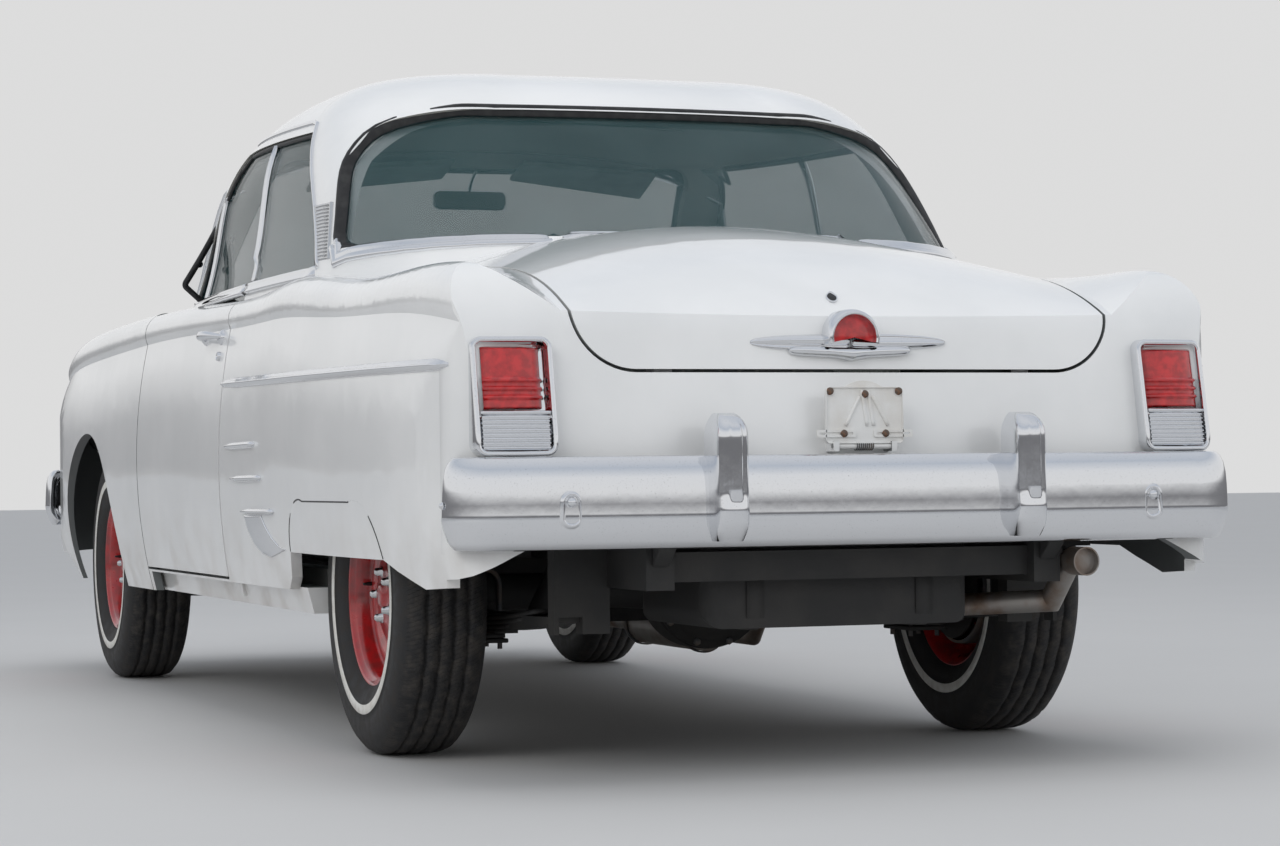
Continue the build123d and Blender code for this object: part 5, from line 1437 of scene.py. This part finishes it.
for k, (side, reach, rise) in enumerate(((1, 0.15, 0.03), (-1, 0.19, 0.045))):
    start = column_start + column_axis * (0.02 + 0.018 * k)
    path = [
        (start + Vector((-0.02 * t * t, side * (0.026 + reach * t), rise * t * t)), UP) for t in shares(10)]
    ribbon(f"column_lever_{k}", path, scaled(ROD, 1.25, 1.25), *TRIM)
    ball = [
        (0.0, 0.026), (0.007, 0.0245), (0.0115, 0.018), (0.012, 0.01), (0.008, 0.002), (0.004, -0.003),
        (0.0, -0.003)]
    lathed(f"lever_knob_{k}", ball, *IVORY, path[-1][0], (0, side, 0.2), 24)

# Pedals
for label, y, width, low in (
        ("clutch", 0.48, 0.034, 0.535), ("brake", 0.36, 0.034, 0.535), ("throttle", 0.235, 0.026, 0.5)):
    top = Vector((firewall_x - 0.03, y, 0.8))
    end = Vector((firewall_x - 0.155, y, low))
    path = [
        (top.lerp(end, t) + Vector((-0.03 * sin(pi * t), 0, 0)), Vector((-1, 0, 0.3))) for t in shares(8)]
    ribbon(f"pedal_arm_{label}", path, both_ways([(0.006, -0.004), (0.006, 0.004)]), *BLACK)
    pad = Vector((-0.012, 0, 0.004))
    tall = Vector((0.012, 0, 0.03)) * (2.0 if label == "throttle" else 1.0)
    across = Vector((0, width, 0))
    corners = [
        end + pad - across - tall, end + pad + across - tall, end + pad + across + tall,
        end + pad - across + tall]
    block(f"pedal_pad_{label}", corners, (-0.01, 0, 0.004), gasket, "body", "tyre_rubber", 0.004)
    for j in range(5):
        mid = end + pad + tall * (-0.7 + 0.35 * j) + Vector((-0.01, 0, 0.004))
        block(
            f"pedal_rib_{label}_{j}", [mid - across * 0.8 - tall * 0.08, mid + across * 0.8 - tall * 0.08,
            mid + across * 0.8 + tall * 0.08, mid - across * 0.8 + tall * 0.08], (-0.003, 0, 0.001), gasket,
            "body", "tyre_rubber", 0.001)

# Door and quarter cards: padded top, pleated middle and a kick panel with bright beads
card_vinyl = plain_finish("card_vinyl", (0.3, 0.32, 0.31), (0.24, 0.25, 0.24), 0.42, 12.0, 0.0007, 380.0)


def card(label, side, body, plane, low, front, rear, top):
    """A trimmed card whose face is at plane, between the x of rear and front and the z of low and top."""
    middle, waist = low + (top - low) * 0.34, low + (top - low) * 0.78

    def strip_of(name, z0, z1, thick, finish, slot, edge, grow=0.0):
        corners = [
            (rear - grow, side * plane, z0), (front + grow, side * plane, z0),
            (front + grow, side * plane, z1), (rear - grow, side * plane, z1)]
        return block(f"card_{name}_{label}", corners, (0, -side * thick, 0), finish, body, slot, edge)

    strip_of("kick", low, middle - 0.004, 0.008, card_vinyl, "seat_fabric", 0.003)
    strip_of("top", waist + 0.004, top, 0.02, bench_vinyl, "seat_fabric", 0.009)
    count = int((front - rear) / 0.032) * 8
    rows = []
    for k in range(count + 1):
        x = rear + (front - rear) * k / count
        puff = 0.006 * abs(sin(pi * k / 8)) ** 0.55
        line = [Vector((x, side * plane, middle))]
        for j in range(9):
            z = middle + (waist - middle) * j / 8
            swell = puff * (1 - (abs(j - 4) / 4) ** 6)
            line.append(Vector((x, side * (plane - 0.006 - swell), z)))
        line.append(Vector((x, side * plane, waist)))
        rows.append(line)
    piece(f"card_pleats_{label}", *grid(rows, False, True, True), bench_cloth, body, "seat_fabric")
    for j, z in enumerate((middle, waist)):
        strip_of(f"bead{j}", z - 0.0045, z + 0.0045, 0.014, chrome, "trim_chrome", 0.004)
    for j in range(3):
        z = low + (middle - low) * (0.25 + 0.22 * j)
        strip_of(f"low_bead{j}", z - 0.003, z + 0.003, 0.011, chrome, "trim_chrome", 0.0025, -0.05)
    return middle, waist


def arm_rest(label, side, body, plane, x0, x1, z):
    rows = []
    for k in range(17):
        t = k / 16
        x = x0 + (x1 - x0) * t
        swell = (1 - abs(2 * t - 1) ** 5)
        deep = 0.012 + 0.048 * swell
        rows.append(
            [Vector((x, side * (plane - a * deep), z + b * (0.03 + 0.012 * swell)))
            for a, b in ((0, 0.2), (0.35, 0.95), (0.75, 1.0), (0.97, 0.75), (1.0, 0.3), (0.8, -0.4),
            (0.3, -1.0), (0, -1.2))])
    subdivided(
        piece(f"arm_rest_{label}", *grid(rows, False, True, True), bench_vinyl, body, "seat_fabric"), 1)


def crank(label, side, body, plane, x, z, angle, length):
    """A lever on a round boss, with a knob at its end when it's long."""
    at = (x, side * plane, z)
    inward = (0, -side, 0)
    lathed(
        f"crank_boss_{label}", [(0.0, 0.03), (0.008, 0.0295), (0.011, 0.026), (0.012, 0.014),
        (0.022, 0.006), (0.023, 0.0)], chrome, body, "trim_chrome", at, inward, 32)
    path = []
    for k in range(9):
        t = k / 8
        y = side * (plane - 0.026 - 0.01 * sin(pi * t))
        path.append((Vector((x + length * t * cos(angle), y, z + length * t * sin(angle))), Vector(inward)))
    ribbon(
        f"crank_arm_{label}", path, [(0.007, 0.0), (0.005, 0.0035), (-0.005, 0.0035), (-0.007, 0.0),
        (0.0, -0.002)], chrome, body, "trim_chrome", [1.2 - 0.35 * k / 8 for k in range(9)])
    if length > 0.09:
        lathed(
            f"crank_knob_{label}", [(0.0, 0.03), (0.007, 0.029), (0.0105, 0.024), (0.0105, 0.016),
            (0.006, 0.008), (0.005, 0.0)], ivory, body, "steering_plastic", path[-1][0], inward, 24)


for side, label in SIDES:
    door = f"door_{label}"
    middle, waist = card(label, side, door, 0.7735, 0.405, 0.688, door_rear_x + 0.066, 1.055)
    arm_rest(label, side, door, 0.766, -0.1, 0.28, middle + 0.1)
    crank(f"window_{label}", side, door, 0.764, 0.16, waist - 0.055, radians(-150), 0.115)
    crank(f"latch_{label}", side, door, 0.764, 0.5, waist - 0.045, radians(178), 0.085)
    card(f"quarter_{label}", side, "body", 0.712, 0.43, door_rear_x - 0.036, rear_x + 0.44, 1.055)
    arm_rest(f"quarter_{label}", side, "body", 0.704, rear_x + 0.5, rear_x + 0.86, middle + 0.09)
    plank(
        f"sill_plate_{label}", door_rear_x + 0.02, door_front_x - 0.07, side * 0.715, side * 0.764, 0.3612,
        0.0035, soft_chrome, "body", "trim_chrome", 0.0012)

# Roof lining furniture
roof_tree = tree_of("body_shell", "fixed_windows")


def ceiling(x, y):
    return roof_tree.ray_cast(Vector((x, y, 1.25)), UP)[0]


for k in range(5):
    x = rear_x + 0.55 + 0.27 * k
    path = []
    for j in range(25):
        spot = ceiling(x, -0.48 + 0.96 * j / 24)
        if spot is not None:
            path.append((spot + Vector((0, 0, 0.001)), DOWN))
    if len(path) > 10:
        ribbon(f"roof_bow_{k}", path, both_ways([(0.007, 0.0), (0.004, 0.0045)]), *VINYL)
lamp_spot = ceiling(rear_x + 0.95, 0.0)
lathed(
    "dome_lamp_ring", [(0.066, 0.0), (0.065, 0.008), (0.058, 0.012), (0.052, 0.01), (0.052, 0.0)], *TRIM,
    lamp_spot, (0, 0, -1), 48, True)
lathed(
    "dome_lamp_lens", [(0.0, 0.02), (0.026, 0.0185), (0.044, 0.014), (0.052, 0.008), (0.052, 0.0)], *IVORY,
    lamp_spot, (0, 0, -1), 48)
front_glass = fixed_panes.ray_cast(Vector((-0.4, 0, 1.42)), FORWARD)[0]
mirror_x = front_glass.x - 0.085
mirror = [
    (mirror_x, y, 1.415 + z) for y, z in rounded_outline([(-0.11, -0.028), (0.11, -0.028), (0.11, 0.028),
    (-0.11, 0.028)], 0.02)]
block("rear_mirror_case", mirror, (0.014, 0, 0.002), soft_chrome, "body", "trim_chrome", 0.005)
glass_face = [(mirror_x - 0.0012, y * 0.95, 1.415 + (z - 1.415) * 0.86) for _, y, z in mirror]
block("rear_mirror_glass", glass_face, (0.001, 0, 0), *TRIM, 0.0004)
stem_top = ceiling(mirror_x - 0.06, 0.0)
stem = [
    (Vector((mirror_x + 0.012, 0, 1.42)).lerp(stem_top, t) + Vector((0.02 * sin(pi * t), 0, 0)),
    Vector((0, 1, 0))) for t in shares(8)]
ribbon("rear_mirror_stem", stem, scaled(ROD, 1.6, 1.6), *TRIM)
for side, label in SIDES:
    net = []
    for x in (mirror_x - 0.2, mirror_x - 0.06):
        high = [ceiling(x, side * y) for y in (0.1, 0.5)]
        net.append([h + Vector((0, 0, -0.012)) for h in high])
    corners = [net[0][0], net[0][1], net[1][1], net[1][0]]
    block(f"sun_visor_{label}", corners, (0, 0, -0.014), *VINYL, 0.006)

# Parcel shelf cover and its slots
plank("shelf_cover", rear_x - 0.108, rear_x + 0.285, -0.518, 0.518, 1.0165, 0.004, *VINYL, 0.0015)
for k in range(14):
    y = -0.085 + 0.013 * k
    plank(
        f"shelf_slot_{k}", rear_x + 0.02, rear_x + 0.17, y, y + 0.005, 1.02, 0.0014, soft_chrome, "body",
        "trim_chrome", 0.0005)


# Front end: grille, headlamps, hood ornament, windscreen surround, wipers and cowl vent
grille_x = nose_x - 0.06
opening = rounded_outline([(-0.547, 0.584), (0.547, 0.584), (0.547, 0.776), (-0.547, 0.776)], 0.045)
frame_loop = [(Vector((grille_x, y, z)), FORWARD) for y, z in divided(opening, 0.03)]
HALF_ROUND = [
    (0.013, -0.018), (0.0135, 0.004), (0.01, 0.013), (0.003, 0.018), (-0.005, 0.016), (-0.011, 0.008),
    (-0.013, -0.004), (-0.013, -0.018)]
surround = ribbon("grille_surround", frame_loop, HALF_ROUND, *BRIGHT, closed=True)
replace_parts(surround, "grille")
TUBE = both_ways(
    [(0.0, -0.014), (0.007, -0.012), (0.012, -0.005), (0.0125, 0.004), (0.009, 0.011), (0.0, 0.0145)])
for k, (z, size, half) in enumerate(((0.625, 0.75, 0.5), (0.68, 1.5, 0.515), (0.735, 0.75, 0.5))):
    line = [
        (Vector((grille_x + 0.006 - 0.004 * (j / 12 - 1) ** 2, half * (j / 12 - 1), z)), FORWARD)
        for j in range(25)]
    ribbon(f"grille_bar_{k}", line, TUBE, *BRIGHT, [size] * 25)
for k in range(-4, 5):
    y = 0.092 * k
    line = [
        (Vector((grille_x + 0.004 + 0.014 * sin(pi * j / 10), y, 0.6 + 0.16 * j / 10)), FORWARD)
        for j in range(11)]
    ribbon(f"grille_tooth_{k + 4}", line, TUBE, *BRIGHT, [0.55 + 0.75 * sin(pi * j / 10) for j in range(11)])
backing = [(grille_x - 0.024, y, z) for y, z in opening]
block("grille_backing", backing, (0.003, 0, 0), under_black, "body", "bright_chrome", 0.001)

lamp_glass = Finish("headlamp_glass", Roughness=0.04, IOR=1.5, Coat_Weight=0.7)
_, hy, hz = lamp_glass.parts(lamp_glass.place())
flutes = (hy * 520.0).sine() * 0.5 + (hz * 160.0).sine() * 0.3
lamp_glass.feed(
    Base_Color=lamp_glass.mix(lamp_glass.noise(9.0, 3.0), (0.7, 0.73, 0.72), (0.8, 0.81, 0.79)),
    Alpha=0.3 + flutes * 0.08 + lamp_glass.add("ShaderNodeFresnel", {}, 1.5) * 0.7)
lamp_glass.bump(flutes, 0.0012)
CAN = [(0.0, 0.002), (0.058, 0.002), (0.062, 0.006), (0.089, 0.06), (0.1025, 0.128), (0.1025, 0.14)]
BEZEL = [
    (0.1035, 0.128), (0.104, 0.16), (0.103, 0.172), (0.0985, 0.182), (0.092, 0.186), (0.087, 0.182),
    (0.0845, 0.172), (0.084, 0.15), (0.09, 0.14)]
BOWL = [(0.0, 0.07), (0.016, 0.072), (0.04, 0.086), (0.062, 0.112), (0.078, 0.142), (0.0845, 0.16)]
LENS = [(0.0, 0.189), (0.022, 0.1882), (0.044, 0.185), (0.064, 0.1795), (0.08, 0.1715), (0.0845, 0.166)]
BULB = [(0.0, 0.122), (0.009, 0.121), (0.014, 0.115), (0.015, 0.104), (0.01, 0.088), (0.01, 0.072)]
PARK_LENS = [(0.0, 0.028), (0.012, 0.0272), (0.022, 0.024), (0.029, 0.018), (0.03, 0.008)]
PARK_RIM = [(0.038, 0.0), (0.0375, 0.012), (0.034, 0.018), (0.03, 0.017), (0.029, 0.008), (0.029, 0.0)]
HEADLAMP_Y, HEADLAMP_Z = 0.7, 0.8
for side, label in SIDES:
    at = (nose_x - 0.2, side * HEADLAMP_Y, HEADLAMP_Z)
    can = lathed(f"headlamp_can_{label}", CAN, iron, "body", "bright_chrome", at, FORWARD, 64)
    if side > 0:
        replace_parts(can, "headlamps")
    lathed(f"headlamp_bezel_{label}", BEZEL, *BRIGHT, at, FORWARD, 96, True)
    lathed(f"headlamp_bowl_{label}", BOWL, *BRIGHT, at, FORWARD, 64)
    lathed(f"headlamp_lens_{label}", LENS, lamp_glass, "body", "tinted_glass", at, FORWARD, 64)
    lathed(f"headlamp_bulb_{label}", BULB, soft_chrome, "body", "bright_chrome", at, FORWARD, 24)
    at = (grille_x - 0.01, side * 0.48, 0.68)
    lathed(f"park_lamp_rim_{label}", PARK_RIM, *BRIGHT, at, FORWARD, 48, True)
    lathed(f"park_lamp_lens_{label}", PARK_LENS, lamp_glass, "body", "tinted_glass", at, FORWARD, 48)
    lathed(
        f"park_lamp_back_{label}", [(0.0, 0.002), (0.026, 0.004), (0.029, 0.012)], *BRIGHT, at, FORWARD, 40)
    for k in range(3):
        a = tau * k / 3 + 0.5
        lathed(
            f"headlamp_screw_{label}_{k}", [(0.0, 0.004), (0.003, 0.0035), (0.0042, 0.0015),
            (0.0042, -0.001)], soft_chrome, "body", "bright_chrome",
            (nose_x - 0.0155, side * HEADLAMP_Y + 0.0935 * cos(a), HEADLAMP_Z + 0.0935 * sin(a)), FORWARD,
            12)

hood_tree = tree_of("hood")


def on_hood(x, y=0.0, lift=0.0):
    point, normal = hood_tree.ray_cast(Vector((x, y, 2.0)), DOWN)[:2]
    return (point + normal * lift, normal) if point is not None else None


fin = [spot for spot in (on_hood(nose_x - 0.72 + 0.02 * k) for k in range(32)) if spot is not None]
FIN = both_ways([(0.014, -0.004), (0.011, 0.01), (0.004, 0.026), (0.0, 0.03)])
count = len(fin)
ribbon(
    "hood_ornament", fin, FIN, chrome, "hood", "trim_chrome",
    [0.25 + 1.15 * (k / (count - 1)) ** 1.6 * (1 - max(0.0, k / (count - 1) - 0.9) * 6)
    for k in range(count)])
for side in (1, -1):
    wing = []
    for k in range(13):
        spot = on_hood(nose_x - 0.2 - 0.011 * k, side * (0.012 + 0.0085 * k))
        if spot is not None:
            wing.append(spot)
    ribbon(
        f"hood_ornament_wing_{side + 1}", wing, both_ways([(0.012, -0.002), (0.006, 0.01)]), chrome, "hood",
        "trim_chrome", [1.1 - 0.075 * k for k in range(len(wing))])

screen = rounded_outline([(-0.706, 1.124), (0.706, 1.124), (0.605, 1.506), (-0.605, 1.506)], 0.07)


def on_screen(y, z, lift=0.0):
    start = Vector((1.25, y, z))
    point, normal = roof_tree.ray_cast(start, BACKWARD)[:2]
    if point is None:
        point, normal = roof_tree.find_nearest(Vector((0.55, y, z)))[:2]
    if normal.x < 0:
        normal = -normal
    return point + normal * lift, normal


spots = smoothed([on_screen(y, z) for y, z in divided(screen, 0.03)], 3)
ribbon(
    "windscreen_gasket", spots, [(0.011, -0.014), (0.011, 0.002), (0.0, 0.005), (-0.011, 0.002),
    (-0.016, -0.012)], *RUBBER, closed=True)
outer = [(y * 1.018, 1.315 + (z - 1.315) * 1.05) for y, z in screen]
spots = smoothed([on_screen(y, z) for y, z in divided(outer, 0.03)], 3)
ribbon("windscreen_moulding", spots, HALF_BEAD, *TRIM, closed=True)
for k, y0 in enumerate((0.46, -0.1)):
    pivot = on_screen(y0 - 0.4, 1.1, 0.012)
    arm = [
        on_screen(y0 - 0.4 + 0.3 * j / 8, 1.105 + 0.052 * j / 8, 0.016 + 0.006 * sin(pi * j / 8))
        for j in range(9)]
    ribbon(
        f"wiper_arm_{k}", arm, both_ways([(0.005, -0.002), (0.003, 0.003)]), soft_chrome, "body",
        "trim_chrome", [1.3 - 0.4 * j / 8 for j in range(9)])
    blade = [on_screen(y0 - 0.29 + 0.33 * j / 12, 1.146 + 0.03 * j / 12, 0.008) for j in range(13)]
    ribbon(
        f"wiper_blade_{k}", blade, [(0.0035, 0.0), (0.0045, 0.006), (0.0, 0.01), (-0.0045, 0.006),
        (-0.0035, 0.0), (0.0, -0.007)], gasket, "body", "trim_chrome")
    lathed(
        f"wiper_pivot_{k}", [(0.0, 0.018), (0.008, 0.017), (0.011, 0.01), (0.012, -0.004)], *TRIM, pivot[0],
        (0.3, 0, 1), 24)
cowl_tree = tree_of("body_shell", "front_fenders")
for k in range(22):
    y = -0.231 + 0.022 * k
    base = cowl_tree.ray_cast(Vector((0.872, y, 1.6)), DOWN)[0]
    if base is not None and base.z < 1.16:
        plank(
            f"cowl_vent_slat_{k}", 0.845, 0.905, y - 0.007, y + 0.007, base.z + 0.0004, 0.006, white_paint,
            "body", "body_paint", 0.0025)

# Underbody: differential, spring packs, dampers, tank straps and hangers
cover = [
    (0.0, 0.135), (0.04, 0.134), (0.08, 0.124), (0.108, 0.1), (0.12, 0.07), (0.136, 0.066), (0.138, 0.052),
    (0.125, 0.046), (0.115, -0.02), (0.08, -0.1), (0.05, -0.14)]
lathed("differential_cover", cover, *BLACK, (rear_x, 0, tyre_radius), (-1, 0, 0), 64)
for k in range(10):
    a = tau * k / 10
    lathed(
        f"differential_bolt_{k}", [(0.0, 0.01), (0.0075, 0.0095), (0.0088, 0.007), (0.0088, -0.002)], iron,
        "body", "chassis_black", (rear_x - 0.066, 0.128 * cos(a), tyre_radius + 0.128 * sin(a)), (-1, 0, 0),
        6)
for side, label in SIDES:
    y = side * 0.54
    lathed(
        f"axle_tube_{label}", [(0.052, 0.08), (0.045, 0.16), (0.042, 0.2), (0.042, 0.5), (0.05, 0.52),
        (0.05, 0.56), (0.0, 0.56)], *BLACK, (rear_x, 0, tyre_radius), (0, side, 0), 40)
    for k in range(5):
        reach = 0.5 - 0.095 * k
        z = tyre_radius - 0.052 - 0.0105 * k
        leaf = [
            (Vector((rear_x + reach * (j / 10 - 1), y, z + 0.03 * (j / 10 - 1) ** 2 * (reach / 0.5) ** 2)),
            UP) for j in range(21)]
        ribbon(f"leaf_{label}_{k}", leaf, both_ways([(0.026, -0.0045), (0.026, 0.0045)]), *BLACK)
    for dx in (-0.052, 0.052):
        bolt = [
            (Vector((rear_x + dx, y + 0.034 * cos(t), tyre_radius + 0.02 + 0.034 * sin(t))), FORWARD)
            for t in [pi * j / 12 for j in range(13)]]
        bolt = [(Vector((rear_x + dx, y + 0.034, tyre_radius - 0.125)), FORWARD)] + bolt + [
            (Vector((rear_x + dx, y - 0.034, tyre_radius - 0.125)), FORWARD)]
        ribbon(
            f"spring_bolt_{label}_{'rear' if dx < 0 else 'front'}", bolt, scaled(ROD, 1.8, 1.8), iron,
            "body", "chassis_black")
    plank(
        f"spring_plate_{label}", rear_x - 0.075, rear_x + 0.075, y - 0.048, y + 0.048, 0.244, 0.01, *BLACK,
        0.003)
    foot, head = Vector((rear_x - 0.1, side * 0.43, 0.3)), Vector((rear_x - 0.24, side * 0.36, 0.53))
    damper = [
        (0.0, 0.0), (0.03, 0.004), (0.031, 0.135), (0.027, 0.14), (0.0365, 0.141), (0.0365, 0.262),
        (0.012, 0.268), (0.0, 0.268)]
    lathed(f"damper_{label}", damper, *BLACK, foot, head - foot, 32)
for side, label in SIDES:
    y = side * 0.19
    x0, x1, z0, z1 = tail_x + 0.108, rear_x - 0.398, 0.2975, 0.488
    strap = [
        (x0, z1), (x0, z0 + 0.03), (x0 + 0.012, z0 + 0.008), (x0 + 0.035, z0), (x1 - 0.035, z0),
        (x1 - 0.012, z0 + 0.008), (x1, z0 + 0.03), (x1, z1)]
    path = [(Vector((x, y, z)), Vector((0, 1, 0))) for x, z in strap]
    ribbon(
        f"tank_strap_{label}", path, [(-0.002, -0.019), (0.002, -0.019), (0.002, 0.019), (-0.002, 0.019)],
        *BLACK)
for k, x in enumerate((rear_x + 0.78, rear_x + 1.22)):
    band = [
        (Vector((x, -0.3 + 0.058 * cos(t), 0.215 + 0.058 * sin(t))), FORWARD)
        for t in [tau * j / 32 for j in range(32)]]
    ribbon(
        f"silencer_band_{k}", band, both_ways([(0.002, -0.01), (0.002, 0.01)]), iron, "body",
        "exhaust_steel", closed=True)

# Engine dressing on the plain block: covers, air cleaner, fan and pulley, battery and hoses
engine_rear, engine_front = front_x - 0.5, front_x + 0.16
air = [
    (0.0, 0.12), (0.02, 0.118), (0.026, 0.108), (0.12, 0.102), (0.14, 0.092), (0.146, 0.07), (0.142, 0.045),
    (0.1, 0.038), (0.06, 0.03), (0.045, 0.01), (0.045, 0.0)]
lathed("air_cleaner", air, gasket, "body", "cast_iron", (front_x - 0.2, 0, 0.83), (0, 0, 1), 64)
for side, label in SIDES:
    rows = []
    for k in range(21):
        x = engine_rear + 0.05 + 0.56 * k / 20
        end = min(1.0, 6 * min(k, 20 - k) / 20 + 0.35)
        rows.append(
            [Vector((x, side * (0.15 + 0.052 * u * end), 0.8302 + 0.062 * v * end))
            for u, v in ((-1.1, 0), (-0.9, 0.6), (-0.6, 0.95), (0, 1.05), (0.6, 0.95), (0.9, 0.6),
            (1.1, 0))])
    piece(f"valve_cover_{label}", *grid(rows, False, True, True), red_paint, "body", "cast_iron")
hub_at = (engine_front, 0, 0.65)
lathed(
    "fan_pulley", [(0.0, 0.075), (0.03, 0.074), (0.036, 0.06), (0.08, 0.055), (0.084, 0.045),
    (0.074, 0.036), (0.084, 0.027), (0.08, 0.018), (0.03, 0.012), (0.03, -0.01)], *CASTING, hub_at, FORWARD,
    48)
for k in range(4):
    a = tau * k / 4 + 0.4
    net = []
    for r in (0.035, 0.09, 0.15, 0.205):
        out = Vector((0, cos(a), sin(a)))
        tangent = Vector((0, -sin(a), cos(a)))
        wide = 0.02 + 0.16 * r
        centre = Vector(hub_at) + out * r + FORWARD * 0.09
        net.append(
            [centre - tangent * wide + FORWARD * 0.014, centre, centre + tangent * wide - FORWARD * 0.014,
            centre + tangent * wide - FORWARD * 0.011, centre + FORWARD * 0.003,
            centre - tangent * wide + FORWARD * 0.017])
    piece(f"fan_blade_{k}", *grid(net, False, True, True), under_black, "body", "cast_iron")
for side, z0, z1, label in ((1, 0.8, 0.86, "upper"), (-1, 0.52, 0.5, "lower")):
    path = []
    for j in range(13):
        t = j / 12
        y = side * (0.1 + 0.06 * sin(pi * t))
        path.append((Vector((engine_front + 0.005 + 0.285 * t, y, z0 + (z1 - z0) * t)), UP))
    ribbon(f"radiator_hose_{label}", path, circle(0.021, 12), gasket, "body", "tyre_rubber")
plank(
    "battery_case", front_x + 0.16, front_x + 0.42, -0.56, -0.39, 0.7, 0.19, gasket, "body", "cast_iron",
    0.006)
for k in range(3):
    lathed(
        f"battery_cap_{k}", [(0.0, 0.014), (0.012, 0.013), (0.016, 0.008), (0.016, 0.0)], ivory, "body",
        "cast_iron", (front_x + 0.21 + 0.08 * k, -0.475, 0.8895), (0, 0, 1), 20)

# Floor, lights, world and camera
def floor_piece():
    mesh = bpy.data.meshes.new("floor")
    size = 60.0
    mesh.from_pydata(
        [(-size, -size, 0), (size, -size, 0), (size, size, 0), (-size, size, 0)], [], [(0, 1, 2, 3)])
    floor = bpy.data.objects.new("floor", mesh)
    bpy.context.scene.collection.objects.link(floor)
    finish = Finish("floor_pale")
    grain = finish.noise(1.3, 5.0)
    finish.feed(
        Base_Color=finish.mix(grain, (0.56, 0.556, 0.548), (0.6, 0.596, 0.588)),
        Roughness=0.7 + grain * 0.1)
    mesh.materials.append(finish.material)


floor_piece()
world = bpy.data.worlds.new("studio")
world.use_nodes = True
bpy.context.scene.world = world
shell = world.node_tree
background = shell.nodes["Background"]
ramp = shell.nodes.new("ShaderNodeValToRGB")
where = shell.nodes.new("ShaderNodeTexCoord")
split = shell.nodes.new("ShaderNodeSeparateXYZ")
shell.links.new(where.outputs["Generated"], split.inputs[0])
shift = shell.nodes.new("ShaderNodeMapRange")
shift.inputs["From Min"].default_value = -1.0
shell.links.new(split.outputs[2], shift.inputs[0])
shell.links.new(shift.outputs[0], ramp.inputs[0])
STOPS = [
    (0.0, (0.4, 0.39, 0.38)), (0.49, (0.48, 0.47, 0.46)), (0.5, (0.2, 0.2, 0.21)),
    (0.525, (0.26, 0.26, 0.27)), (0.55, (0.95, 0.95, 0.95)), (0.66, (0.92, 0.93, 0.95)),
    (0.8, (0.62, 0.67, 0.75)), (1.0, (0.8, 0.82, 0.86))]
stops = ramp.color_ramp.elements
stops.remove(stops[0])
stops[0].position = STOPS[0][0]
stops[0].color = (*STOPS[0][1], 1.0)
for place, colour in STOPS[1:]:
    stops.new(place).color = (*colour, 1.0)
shell.links.new(ramp.outputs[0], background.inputs[0])
background.inputs[1].default_value = 0.85
seen = shell.nodes.new("ShaderNodeBackground")
seen.inputs[0].default_value = (0.72, 0.72, 0.72, 1.0)
ray = shell.nodes.new("ShaderNodeLightPath")
choice = shell.nodes.new("ShaderNodeMixShader")
shell.links.new(ray.outputs["Is Camera Ray"], choice.inputs[0])
shell.links.new(background.outputs[0], choice.inputs[1])
shell.links.new(seen.outputs[0], choice.inputs[2])
shell.links.new(choice.outputs[0], shell.nodes["World Output"].inputs[0])


def lamp(name, at, aim, size, power, colour=(1.0, 1.0, 1.0)):
    data = bpy.data.lights.new(name, "AREA")
    data.shape = "RECTANGLE"
    data.size, data.size_y = size
    data.energy = power
    data.color = colour
    obj = bpy.data.objects.new(name, data)
    obj.location = at
    obj.rotation_euler = (Vector(aim) - Vector(at)).to_track_quat("-Z", "Y").to_euler()
    obj.visible_glossy = False
    bpy.context.scene.collection.objects.link(obj)


lamp("key", (-7.0, 7.5, 6.5), (-0.8, 0, 0.6), (6.0, 4.0), 230, (1.0, 0.985, 0.96))
lamp("top", (-0.5, 0.0, 7.0), (-0.5, 0, 0), (8.0, 5.0), 120)
lamp("rear_fill", (-10.0, -5.0, 3.5), (-1.0, 0, 0.6), (6.0, 3.0), 60, (0.94, 0.97, 1.0))

# Camera at the photograph's place, its angles in radians and its focal length in the photograph's pixels
CAMERA = (-8.1085, 2.535, 0.616)
FOCAL_PIXELS, PHOTO_PIXELS, SENSOR_WIDTH = 3074.2, 1280, 36.0
yaw, pitch, roll = 0.344, 0.017, -0.011
ahead = Vector((cos(pitch) * cos(yaw), -cos(pitch) * sin(yaw), sin(pitch)))
right = ahead.cross(UP).normalized()
upward = right.cross(ahead)
turned_right = cos(roll) * right + sin(roll) * upward
turned_up = cos(roll) * upward - sin(roll) * right
camera_data = bpy.data.cameras.new("camera")
camera_data.sensor_width = SENSOR_WIDTH
camera_data.lens = FOCAL_PIXELS / PHOTO_PIXELS * SENSOR_WIDTH
camera_data.clip_end = 200.0
camera = bpy.data.objects.new("camera", camera_data)
bpy.context.scene.collection.objects.link(camera)
matrix = Matrix((turned_right, turned_up, -ahead)).transposed().to_4x4()
matrix.translation = CAMERA
camera.matrix_world = matrix
bpy.context.scene.camera = camera
bpy.context.scene.view_settings.view_transform = "Standard"
